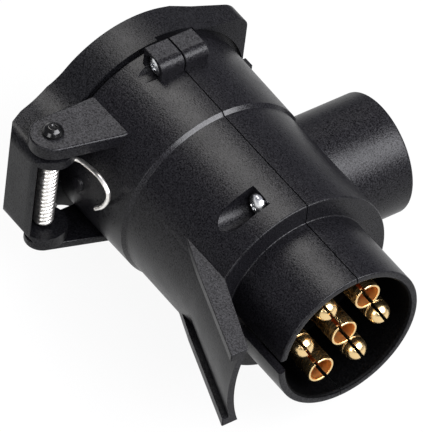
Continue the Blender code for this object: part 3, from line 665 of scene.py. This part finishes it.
def hook(shell):
    """The hook for the mating plug's cover: a web coned inside and out, between two straight walls."""
    plan = fillet(
        [
            (*HOOK_ROOT, 0),
            (*HOOK_BEND, 12 * MM),
            (0, HOOK_TIP_Y, HOOK_EDGE),
            (0, -SHROUD_R, 0),
            (HOOK_ROOT[0], -SHROUD_R, 0),
        ],
        6,
    )
    made = prism("hook", plan, HOOK_LOWER_WALL_Z[0], HOOK_UPPER_WALL_Z[1], edge=HOOK_EDGE)
    wall = FRONT_R - WALL_OVERLAP
    rear = HOOK_ROOT[0] - PAST
    web = [
        (rear, 0),
        (rear, wall),
        (-(HOOK_OUTER_TIP_R - wall) / HOOK_OUTER_SLOPE, wall),
        (PAST, HOOK_OUTER_TIP_R + HOOK_OUTER_SLOPE * PAST),
        (PAST, 0),
    ]
    between = (HOOK_LOWER_WALL_Z[1], HOOK_UPPER_WALL_Z[0])
    channel = block("hook_channel", (rear, PAST), (OUTSIDE_Y, HOOK_CHANNEL_INNER_Y), between)
    combine(channel, turned("hook_web", web), "DIFFERENCE")
    combine(made, channel, "DIFFERENCE")
    slope = (HOOK_INNER_TIP_R - FRONT_R) / -STEP_X
    inside = [
        (rear, 0),
        (rear, wall),
        (STEP_X - MM, wall),
        (STEP_X, FRONT_R),
        (PAST, HOOK_INNER_TIP_R + slope * PAST),
        (PAST, 0),
    ]
    combine(made, turned("hook_inside", inside), "DIFFERENCE")
    combine(shell, made, "UNION")


def ears(shell):
    """The two hinge ears, rounded about the pin."""
    layers = (
        (UPPER_EAR_END_R, EAR_INNER_Z, EAR_TOP_Z, UPPER_EAR_EDGE),
        (LOWER_EAR_END_R, EAR_BOTTOM_Z, -EAR_INNER_Z, LOWER_EAR_EDGE),
    )
    for end_r, low, high, edge in layers:
        outline = [
            (HINGE_X - end_r, EAR_ROOT_Y),
            *arc((HINGE_X, HINGE_Y), end_r, 180, 345, 33),
            EAR_FRONT,
            (EAR_FRONT[0], EAR_ROOT_Y),
        ]
        ear = prism("ear", outline, low, high, edge=edge)
        root = rod("ear_root", REAR_R - WALL_OVERLAP, *EAR_ROOT_X, steps=TURN_STEPS)
        combine(ear, root, "DIFFERENCE")
        combine(shell, ear, "UNION")
    centre = (HINGE_X, HINGE_Y, 0)
    hole = rod("pin_hole", PIN_SHAFT_R + GAP, -PIN_HOLE_REACH, PIN_HOLE_REACH, centre, "Z", 40)
    combine(shell, hole, "DIFFERENCE")


def polished_edges(shell, material):
    """The chamfer of the ring comes smoother out of the mould than the rest."""
    shell.data.materials.append(material)
    for face in shell.data.polygons:
        place = face.center - PLACE
        on_ring = RING_REAR_X - 0.05 * MM < place.x < RING_FRONT_X + 0.05 * MM
        if on_ring and math.hypot(place.y, place.z) > FRONT_R - 0.05 * MM and face.normal.x > 0.3:
            face.material_index = len(shell.data.materials) - 1


def paint_shade_in_mouth(shell, material):
    """Paints shade inside the mouth and on its rounded inner rim: a near-black, barely reflecting material on
    faces that lie in shade.
    """
    shell.data.materials.append(material)
    for face in shell.data.polygons:
        place = face.center - PLACE
        # painted shade: faces of the bore and of the rim's inner round get the near-black material
        inside = math.hypot(place.y, place.z) < SHROUD_BORE_R + 0.7 * MOUTH_ROUND
        if inside and place.x > INSERT_COLLAR_REAR_X:
            face.material_index = len(shell.data.materials) - 1


def coarse_painted_light_tops(shell, material):
    """The level, upward-facing tops of the ear, the hook and the boss get a coarser grain and a paler colour;
    the paler colour is painted light on the faces that look up.
    """
    shell.data.materials.append(material)
    for face in shell.data.polygons:
        # painted light: only faces that point straight up are picked, and they get the paler colour
        level = face.normal.z > 0.99999 and face.area > 2 * MM * MM
        high = face.center.z - PLACE.z
        outside = math.hypot(face.center.y - PLACE.y, high) > FRONT_R or face.center.x > PLACE.x + STEP_X
        if level and outside and high > HOOK_UPPER_WALL_Z[1] - 0.1 * MM:
            face.material_index = len(shell.data.materials) - 1


def finish_shell(shell, kept_y, node, material, coarse_lit_tops, polished, dark):
    """Keeps the shell's own side of the seam, rounds its edges and dresses it."""
    combine(shell, block(f"{node}_side", WHOLE_X, kept_y, (-FAR, FAR)), "INTERSECT")
    clean(shell)
    soften(shell, EDGE_ROUND)
    dress(shell, "casing", material, "casing_plastic", node)
    # coarser grain, with painted light as a paler colour on the upward-facing tops
    coarse_painted_light_tops(shell, coarse_lit_tops)
    polished_edges(shell, polished)
    # dark is the painted shade material for the inside of the mouth
    paint_shade_in_mouth(shell, dark)


def left_casing(*plastics):
    shell = turned("left_casing", casing_outline())
    add_rear_bosses(shell, -1)
    front_boss(shell)
    hook(shell)
    ears(shell)
    tip = (PEG_END_Y, PEG_R, 0.3 * MM)
    peg = fillet([(PEG_ROOT_Y, 0, 0), (PEG_ROOT_Y, PEG_R, 0), tip, (PEG_END_Y, 0, 0)])
    combine(shell, turned("peg", peg, (PEG_X, 0, 0), "Y", 48), "UNION")
    half = KEYWAY_WIDTH / 2
    combine(shell, block("keyway", (-KEYWAY_LENGTH, MM), KEYWAY_Y, (-half, half)), "DIFFERENCE")
    cut_screw_seats(shell)
    finish_shell(shell, (-FAR, -GAP / 2), "left_shell", *plastics)


def right_casing(*plastics):
    shell = turned("right_casing", casing_outline())
    add_rear_bosses(shell, 1)
    outline = fillet(
        [
            (STUB_ROOT_Y, 0, 0),
            (STUB_ROOT_Y, STUB_R, 0),
            (STUB_END_Y, STUB_R, 0.7 * MM),
            (STUB_END_Y, 0, 0),
        ]
    )
    stub = turned("stub", outline, (STUB_X, 0, 0), "Y", 160)
    chamber = [(LIP_X, 0), *chamber_outline(), (INSERT_COLLAR_REAR_X, 0)]
    combine(stub, turned("stub_trim", chamber), "DIFFERENCE")
    combine(shell, stub, "UNION")
    reach = (STUB_BORE_START_Y, STUB_END_Y - STUB_WALL)
    combine(shell, rod("stub_bore", STUB_BORE_R, *reach, (STUB_X, 0, 0), "Y", 96), "DIFFERENCE")
    finish_shell(shell, (GAP / 2, FAR), "right_shell", *plastics)


# Plug


def node_centre(node):
    """The (y, z) centre of a CAD node, and the X of its outer end, in the plug frame."""
    low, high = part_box(node)
    middle = (low + high) / 2 - PLACE
    return middle.y, middle.z, high.x - PLACE.x


def insert_plate(material):
    outline = fillet(
        [
            (INSERT_FACE_X, 0, 0),
            (INSERT_FACE_X, SHROUD_BORE_R - GAP, 0.3 * MM),
            (GROOVE_FRONT_X - GAP, SHROUD_BORE_R - GAP, 0),
            (GROOVE_FRONT_X - GAP, GROOVE_R - GAP, 0),
            (GROOVE_REAR_X + GAP, GROOVE_R - GAP, 0),
            (GROOVE_REAR_X + GAP, INSERT_COLLAR_R - GAP, 0),
            (INSERT_BACK_X, INSERT_COLLAR_R - GAP, 0),
            (INSERT_BACK_X, 0, 0),
        ]
    )
    plate = turned("insert_plate", outline, steps=128)
    contacts = [f"plug_pin_{i}" for i in range(1, 5)] + [f"plug_tube_{i}" for i in range(1, 4)]
    for contact in contacts:
        y, z, _ = node_centre(contact)
        hole = rod("shank_hole", SHANK_R + GAP, *SHANK_HOLE_X, (0, y, z), steps=40)
        combine(plate, hole, "DIFFERENCE")
    soften(plate, 0.15 * MM)
    dress(plate, "casing", material, "insert_plastic", "plug_insert")


def cut_slit(contact, y, z, radius, start_x):
    half = SLIT_WIDTH / 2
    wide = radius + PAST
    turn = Matrix.Rotation(SLIT_ANGLE, 3, "X")
    slit = block("slit", (start_x, PAST), (-wide, wide), (-half, half))
    for point in slit.data.vertices:
        point.co = turn @ (point.co - PLACE) + Vector((0, y, z)) + PLACE
    combine(contact, slit, "DIFFERENCE")


def pins(material):
    """Domed pins, grooved behind the dome and split."""
    for number in range(1, 5):
        node = f"plug_pin_{number}"
        y, z, tip_x = node_centre(node)
        low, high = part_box(node)
        radius = (high.y - low.y) / 2
        dome_x = tip_x - radius
        groove_x = dome_x - PIN_GROOVE_WIDTH
        groove_r = radius - PIN_GROOVE_DEPTH
        outline = [
            (tip_x, 0),
            *arc((dome_x, 0), radius, 6, 90, 14),
            *fillet(
                [
                    (groove_x, radius, 0.12 * MM),
                    (groove_x, groove_r, 0.05 * MM),
                    (groove_x - PIN_GROOVE_WIDTH, groove_r, 0.05 * MM),
                    (groove_x - PIN_GROOVE_WIDTH, radius, 0.12 * MM),
                    (INSERT_FACE_X + GAP, radius, 0),
                    (INSERT_FACE_X + GAP, SHANK_R, 0),
                ],
                3,
            ),
            (low.x - PLACE.x, SHANK_R),
            (low.x - PLACE.x, 0),
        ]
        pin = turned(f"pin_{number}", outline, (0, y, z), steps=64)
        cut_slit(pin, y, z, radius, tip_x - PIN_SLIT_LENGTH)
        soften(pin, 0.1 * MM, 50)
        dress(pin, "casing", material, "contact_brass", node)


def tubes(outside, inside):
    """Open contact tubes, split at the mouth; the bore has its own orange colour, darkened inwards as painted
    shade.
    """
    for number in range(1, 4):
        node = f"plug_tube_{number}"
        y, z, tip_x = node_centre(node)
        low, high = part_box(node)
        radius = (high.y - low.y) / 2
        outline = fillet(
            [
                (tip_x, TUBE_BORE_R, 0.2 * MM),
                (tip_x, radius, 0.2 * MM),
                (INSERT_FACE_X + GAP, radius, 0),
                (INSERT_FACE_X + GAP, SHANK_R, 0),
                (low.x - PLACE.x, SHANK_R, 0),
                (low.x - PLACE.x, 0, 0),
                (TUBE_BORE_END_X, 0, 0),
                (TUBE_BORE_END_X, TUBE_BORE_R, 0),
            ],
            4,
        )
        tube = turned(f"tube_{number}", outline, (0, y, z), steps=72)
        cut_slit(tube, y, z, radius, tip_x - TUBE_SLIT_LENGTH)
        soften(tube, 0.08 * MM, 50)
        dress(tube, "casing", outside, "contact_brass", node)
        tube.data.materials.append(inside)
        centre = Vector((0, y, z)) + PLACE
        for face in tube.data.polygons:
            away = face.center - centre
            in_bore = math.hypot(away.y, away.z) < TUBE_BORE_R + 0.05 * MM
            if in_bore and face.center.x > PLACE.x + TUBE_BORE_END_X - 0.1 * MM:
                face.material_index = 1


# Fasteners


def screws(material):
    """Pan-head screws with a tapered cross recess."""
    arm, half = CROSS_ARM, CROSS_HALF_WIDTH
    for node in ("upper_front_screw", "upper_rear_screw", "lower_front_screw", "lower_rear_screw"):
        low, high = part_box(node)
        middle = (low + high) / 2 - PLACE
        top = low.y - PLACE.y
        end = high.y - PLACE.y
        seat = top + SCREW_HEAD_HEIGHT
        crown = arc((top + SCREW_CROWN_R, 0), SCREW_CROWN_R, 180, 143, 8)
        outline = [
            (top, 0),
            *crown[1:-1],
            (top + SCREW_CROWN_DEPTH, SCREW_HEAD_R - 0.04 * MM),
            (seat, SCREW_HEAD_R),
            (seat, SCREW_R),
            (end - SCREW_POINT_LENGTH, SCREW_R),
            (end, SCREW_R * 0.3),
            (end, 0),
        ]
        screw = turned(f"{node}_detailed", outline, (middle.x, 0, middle.z), "Y", 64)
        shape = bmesh.new()
        rings = []
        for depth, scale in ((top - MM, CROSS_MOUTH_SCALE), (top + CROSS_DEPTH, CROSS_BOTTOM_SCALE)):
            cross = []
            for quarter in range(4):
                turn = Matrix.Rotation(quarter * math.pi / 2, 2)
                for corner in ((arm, -half), (arm, half), (half, half)):
                    spot = turn @ Vector(corner)
                    place = (middle.x + spot.x * scale, depth, middle.z + spot.y * scale)
                    cross.append(shape.verts.new(place))
            rings.append(cross)
        shape.faces.new(rings[0])
        shape.faces.new(rings[1])
        count = len(rings[0])
        for i in range(count):
            j = (i + 1) % count
            shape.faces.new((rings[0][i], rings[0][j], rings[1][j], rings[1][i]))
        combine(screw, mesh_object("cross", shape), "DIFFERENCE")
        soften(screw, 0.06 * MM, 50)
        dress(screw, "casing", material, "screw_steel", node)


def hinge_pin(material):
    """A domed head with a shallow dimple, on a shaft through the ears."""
    low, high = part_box("hinge_pin")
    top = high.z - PLACE.z
    head = EAR_TOP_Z + GAP
    outline = fillet(
        [
            (low.z - PLACE.z, 0, 0),
            (low.z - PLACE.z, PIN_SHAFT_R, 0.2 * MM),
            (head, PIN_SHAFT_R, 0),
            (head, PIN_HEAD_R, 0.1 * MM),
            (head + 0.5 * MM, PIN_HEAD_R, 0.3 * MM),
            (head + 1.35 * MM, PIN_HEAD_R * 0.8, 0.6 * MM),
            (top, PIN_HEAD_R * 0.5, 0.4 * MM),
            (top, PIN_HEAD_R * 0.28, 0.1 * MM),
            (top - PIN_DIMPLE_DEPTH, PIN_HEAD_R * 0.18, 0.1 * MM),
            (top - PIN_DIMPLE_DEPTH, 0, 0),
        ],
        4,
    )
    pin = turned("hinge_pin_detailed", outline, (HINGE_X, HINGE_Y, 0), "Z", 72)
    shade(pin)
    dress(pin, "casing", material, "pin_black", "hinge_pin")


def smooth_line(knots, per_span):
    """Points on a Catmull-Rom curve through the knots."""
    knots = [Vector(knot) for knot in knots]
    ends = [2 * knots[0] - knots[1], *knots, 2 * knots[-1] - knots[-2]]
    points = []
    for a, b, c, d in zip(ends, ends[1:], ends[2:], ends[3:]):
        for i in range(per_span):
            t = i / per_span
            square = (2 * a - 5 * b + 4 * c - d) * t * t
            cube = (3 * b - a - 3 * c + d) * t**3
            points.append(0.5 * (2 * b + (c - a) * t + square + cube))
    return [*points, knots[-1]]


def wire(name, points, radius, sides=14):
    """A round wire along the points, with domed ends."""
    shape = bmesh.new()
    points = [Vector(point) for point in points]
    count = len(points)
    across = (points[1] - points[0]).orthogonal().normalized()
    rings = []
    for i, point in enumerate(points):
        along = (points[min(i + 1, count - 1)] - points[max(i - 1, 0)]).normalized()
        across = (across - along * across.dot(along)).normalized()
        beside = along.cross(across)
        ring = []
        for k in range(sides):
            turn = math.tau * k / sides
            ring.append(shape.verts.new(point + radius * (math.cos(turn) * across + math.sin(turn) * beside)))
        rings.append(ring)
    for one, two in zip(rings, rings[1:]):
        for k in range(sides):
            j = (k + 1) % sides
            shape.faces.new((one[k], one[j], two[j], two[k]))
    for ring, tip in ((rings[0], points[0] * 2 - points[1]), (rings[-1], points[-1] * 2 - points[-2])):
        base = points[0] if ring is rings[0] else points[-1]
        out = (tip - base).normalized() * radius * 0.5
        cap = shape.verts.new(base + out)
        for k in range(sides):
            shape.faces.new((ring[k], ring[(k + 1) % sides], cap))
    return mesh_object(name, shape)


def hinge_spring(material):
    """The leg stays with the casing; the coil is left unattached to any body."""
    total = round(SPRING_TURNS * SPRING_STEPS_PER_TURN)
    coil = []
    for i in range(total + 1):
        turn = -math.tau * i / SPRING_STEPS_PER_TURN
        height = SPRING_HIGH_Z + (SPRING_LOW_Z - SPRING_HIGH_Z) * i / total
        across = SPRING_MEAN_R * math.cos(turn)
        coil.append((HINGE_X + across, HINGE_Y + SPRING_MEAN_R * math.sin(turn), height))
    knots = [Vector(knot) * MM for knot in SPRING_LEG_KNOTS_MM]
    leg = wire("spring_leg", [*smooth_line(knots, 8), Vector(coil[0])], SPRING_WIRE_R)
    last = Vector(coil[-1])
    foot = smooth_line([last, *[last + Vector(step) * MM for step in SPRING_FOOT_STEPS_MM]], 5)
    wound = wire("spring_coil", [*coil, *foot[1:]], SPRING_WIRE_R)
    shade(leg, 60)
    shade(wound, 60)
    dress(leg, "casing", material, "spring_steel", "hinge_spring")
    wound.data.materials.append(material)
    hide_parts("hinge_spring")
    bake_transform(wound)


# Lid


def lid_neck():
    """The curve, as (y, z), by which the disc runs into the level top of the hinge arm."""
    turn = math.radians(LID_NECK_ANGLE)
    start = Vector((math.cos(turn), math.sin(turn))) * LID_R
    heading = Vector((-math.sin(turn), math.cos(turn)))
    run = (LID_ARM_HALF_HEIGHT - start.y) / heading.y
    corner = start + heading * run
    end = corner - Vector((run, 0))
    steps = 12
    curve = []
    for i in range(1, steps + 1):
        t = i / steps
        point = start * (1 - t) ** 2 + corner * 2 * t * (1 - t) + end * t**2
        curve.append((point.x, point.y))
    return curve


def lid_cover(material):
    """A tapered plate over the socket, with a knuckle round the pin and a window for the spring."""
    side = [
        (LID_FRONT_X, LID_SIDE_Y + MM),
        (LID_TAPER_X, LID_SIDE_Y + MM),
        (LID_BACK_X, LID_TAPER_END_Y),
        *((x * MM, y * MM) for x, y in LID_HEEL_MM),
        *arc((HINGE_X, HINGE_Y), HINGE_Y - LID_ARM_Y, -90, 120, 49),
        (LID_FRONT_X, LID_ARM_FRONT_Y),
    ]
    corner = (LID_SIDE_Y - LID_CORNER_R, LID_CORNER_Z)
    half = [
        *arc(corner, LID_CORNER_R, 0, 85, 12),
        LID_SHOULDER,
        *arc((0, 0), LID_R, 75, LID_NECK_ANGLE, 56),
        *lid_neck(),
    ]
    top_centre = (LID_ARM_Y + LID_ARM_TOP_ROUND, LID_ARM_HALF_HEIGHT - LID_ARM_TOP_ROUND)
    bottom_centre = (LID_ARM_Y + LID_ARM_BOTTOM_ROUND, LID_ARM_BOTTOM_ROUND - LID_ARM_HALF_HEIGHT)
    outline = [
        *half,
        *arc(top_centre, LID_ARM_TOP_ROUND, 90, 180, 13),
        *arc(bottom_centre, LID_ARM_BOTTOM_ROUND, 180, 270, 19),
        *((y, -z) for y, z in reversed(half)),
    ]
    lid = prism("lid_cover", side, -LID_REACH, LID_REACH)
    combine(lid, prism("lid_face", outline, *LID_FACE_X, axis="X"), "INTERSECT")
    tab_y = (LID_SIDE_Y - PAST, TAB_END_Y)
    tab = block("lid_tab", (TAB_BACK_X, LID_FRONT_X), tab_y, (-TAB_HALF_HEIGHT, TAB_HALF_HEIGHT))
    combine(lid, tab, "UNION")
    cavity = [
        (LID_FRONT_X + PAST, 0),
        (LID_FRONT_X + PAST, GASKET_SEAT_R),
        (GASKET_SEAT_X, GASKET_SEAT_R),
        (GASKET_SEAT_X, LID_CAVITY_R),
        (LID_CAVITY_X, LID_CAVITY_R),
        (LID_CAVITY_X, 0),
    ]
    combine(lid, turned("lid_cavity", cavity), "DIFFERENCE")
    shift = LID_GROOVE_SHIFT / math.sqrt(LID_GROOVE_SIDE[0] ** 2 + LID_GROOVE_SIDE[1] ** 2)
    centre = (0, LID_GROOVE_SIDE[0] * shift, LID_GROOVE_SIDE[1] * shift)
    groove_x = (LID_FRONT_X - LID_GROOVE_DEPTH, LID_FRONT_X + PAST)
    groove = rod("lid_groove", LID_GROOVE_R, *groove_x, centre, steps=128)
    land = rod("lid_land", LID_LAND_R, LID_FRONT_X - PAST, LID_FRONT_X + 2 * PAST, steps=128)
    combine(groove, land, "DIFFERENCE")
    combine(lid, groove, "DIFFERENCE")
    reach = (WINDOW_WALL_Y, WINDOW_INNER_Y)
    combine(lid, block("lid_window", (WINDOW_BACK_X, WINDOW_FRONT_X), reach, WINDOW_Z), "DIFFERENCE")
    mouth = [
        WINDOW_MOUTH_OUTER,
        WINDOW_MOUTH_INNER,
        (WINDOW_MOUTH_INNER[0], WINDOW_INNER_Y),
        (WINDOW_FRONT_X, WINDOW_INNER_Y),
        (WINDOW_FRONT_X, OUTSIDE_Y),
    ]
    combine(lid, prism("lid_mouth", mouth, *WINDOW_Z), "DIFFERENCE")
    hinge = (HINGE_X, HINGE_Y, 0)
    hole = rod("lid_hole", PIN_SHAFT_R + GAP, -PIN_HOLE_REACH, PIN_HOLE_REACH, hinge, "Z", 40)
    combine(lid, hole, "DIFFERENCE")
    clean(lid)
    soften(lid, LID_EDGE, 35, 3)
    dress(lid, "lid", material, "lid_plastic", "lid")


def gasket(material):
    low, high = GASKET_X
    inner, outer = GASKET_R
    outline = fillet(
        [(high, inner, 0.5 * MM), (high, outer, 0.5 * MM), (low, outer, 0.2 * MM), (low, inner, 0.2 * MM)], 5
    )
    ring = turned("gasket_ring", outline)
    shade(ring)
    dress(ring, "lid", material, "gasket_rubber", "lid_gasket")


def main_pieces():
    casing_plastic = moulded_plastic("casing_plastic", (0.0032, 0.0031, 0.0039), 0.36, 0.17)
    # coarser grain, and a paler colour that is painted light for the upward-facing tops
    coarse_painted_light_plastic = moulded_plastic("coarse_painted_light_plastic", (0.0085, 0.0084, 0.0095), 0.5, 0.25, 1.0)
    edge_plastic = moulded_plastic("edge_plastic", (0.0032, 0.0031, 0.0039), 0.27, 0.26, 0.4)
    # painted shade for the inside of the mouth: near-black with almost no reflection
    painted_shade_mouth_plastic = moulded_plastic("painted_shade_mouth_plastic", (0.0006, 0.0006, 0.0007), 0.5, 0.03)
    lid_plastic = moulded_plastic("lid_plastic", (0.0030, 0.0030, 0.0037), 0.40, 0.16)
    insert_plastic = moulded_plastic("insert_plastic", (0.003, 0.003, 0.003), 0.5, 0.1)
    # the second colours are painted shade towards the back of the mouth and of the tube bores
    brass = turned_brass("contact_brass", (0.88, 0.64, 0.32), 0.24, (0.20, 0.11, 0.035))
    bore = turned_brass("contact_bore", (0.98, 0.55, 0.18), 0.36, (0.45, 0.12, 0.015), (-12 * MM, -2 * MM))
    zinc = bright_steel("screw_zinc", (0.72, 0.73, 0.74), 0.24)
    spring_steel = bright_steel("spring_wire", (0.90, 0.88, 0.84), 0.34)
    oxide = moulded_plastic("pin_oxide", (0.0015, 0.0015, 0.0015), 0.2, 0.3, 0.15)
    rubber = matte_rubber("gasket_rubber", (0.02, 0.02, 0.02))
    covers = moulded_plastic("wire_cover", (0.03, 0.05, 0.18), 0.45)
    left_casing(casing_plastic, coarse_painted_light_plastic, edge_plastic, painted_shade_mouth_plastic)
    right_casing(casing_plastic, coarse_painted_light_plastic, edge_plastic, painted_shade_mouth_plastic)
    insert_plate(insert_plastic)
    pins(brass)
    tubes(brass, bore)
    screws(zinc)
    hinge_pin(oxide)
    hinge_spring(spring_steel)
    lid_cover(lid_plastic)
    gasket(rubber)
    carried = {"socket_housing": insert_plastic}
    carried.update({f"socket_sleeve_{i}": brass for i in range(1, 14)})
    carried.update({f"jumper_wire_{i}": covers for i in range(1, 8)})
    for node, material in carried.items():
        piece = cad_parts[node]
        piece.data.materials.clear()
        piece.data.materials.append(material)


# Studio


def floor():
    shape = bmesh.new()
    bmesh.ops.create_grid(shape, x_segments=4, y_segments=4, size=3.0)
    mesh = bpy.data.meshes.new("floor")
    shape.to_mesh(mesh)
    shape.free()
    made = bpy.data.objects.new("floor", mesh)
    bpy.context.scene.collection.objects.link(made)
    white = new_material("floor_white", (0.035, 0.035, 0.035), 0.9, specular=0.0)
    shader = white.node_tree.nodes["Principled BSDF"]
    shader.inputs["Emission Color"].default_value = (1.0, 1.0, 1.0, 1.0)
    shader.inputs["Emission Strength"].default_value = 0.93
    made.data.materials.append(white)


def softbox(name, direction, distance, size, power, colour=(1, 1, 1)):
    """A square light that faces the connector from a direction."""
    data = bpy.data.lights.new(name, "AREA")
    data.shape = "RECTANGLE"
    data.size, data.size_y = size
    data.energy = power
    data.color = colour
    made = bpy.data.objects.new(name, data)
    towards = Vector(direction).normalized()
    made.location = Vector((0, 0, 0.03)) + towards * distance
    made.rotation_mode = "QUATERNION"
    made.rotation_quaternion = (-towards).to_track_quat("-Z", "Y")
    bpy.context.scene.collection.objects.link(made)


def studio():
    world = bpy.data.worlds.new("studio")
    world.use_nodes = True
    background = world.node_tree.nodes["Background"]
    background.inputs["Color"].default_value = (0.86, 0.86, 1.0, 1.0)
    background.inputs["Strength"].default_value = 0.32
    bpy.context.scene.world = world
    softbox("key", (-0.54, 0.04, 0.84), 0.9, (0.42, 0.42), 6.0, (1.0, 0.98, 0.95))
    softbox("edges", (0.62, 0.2, 0.68), 0.9, (1.0, 0.6), 30.0, (0.96, 0.96, 1.0))
    softbox("left", (0.25, -0.9, 0.35), 0.9, (0.4, 0.4), 4.0)
    bpy.context.scene.view_settings.view_transform = "Standard"


def camera():
    data = bpy.data.cameras.new("camera")
    data.lens = CAMERA_LENS
    data.sensor_width = 36
    data.clip_end = 20
    made = bpy.data.objects.new("camera", data)
    back = Vector(
        (
            math.sin(CAMERA_AZIMUTH) * math.cos(CAMERA_ELEVATION),
            -math.cos(CAMERA_AZIMUTH) * math.cos(CAMERA_ELEVATION),
            math.sin(CAMERA_ELEVATION),
        )
    )
    made.location = CAMERA_PLACE
    made.rotation_mode = "QUATERNION"
    made.rotation_quaternion = (-back).to_track_quat("-Z", "Y") @ Quaternion((0, 0, 1), CAMERA_ROLL)
    bpy.context.scene.collection.objects.link(made)
    bpy.context.scene.camera = made


main_pieces()
floor()
studio()
camera()
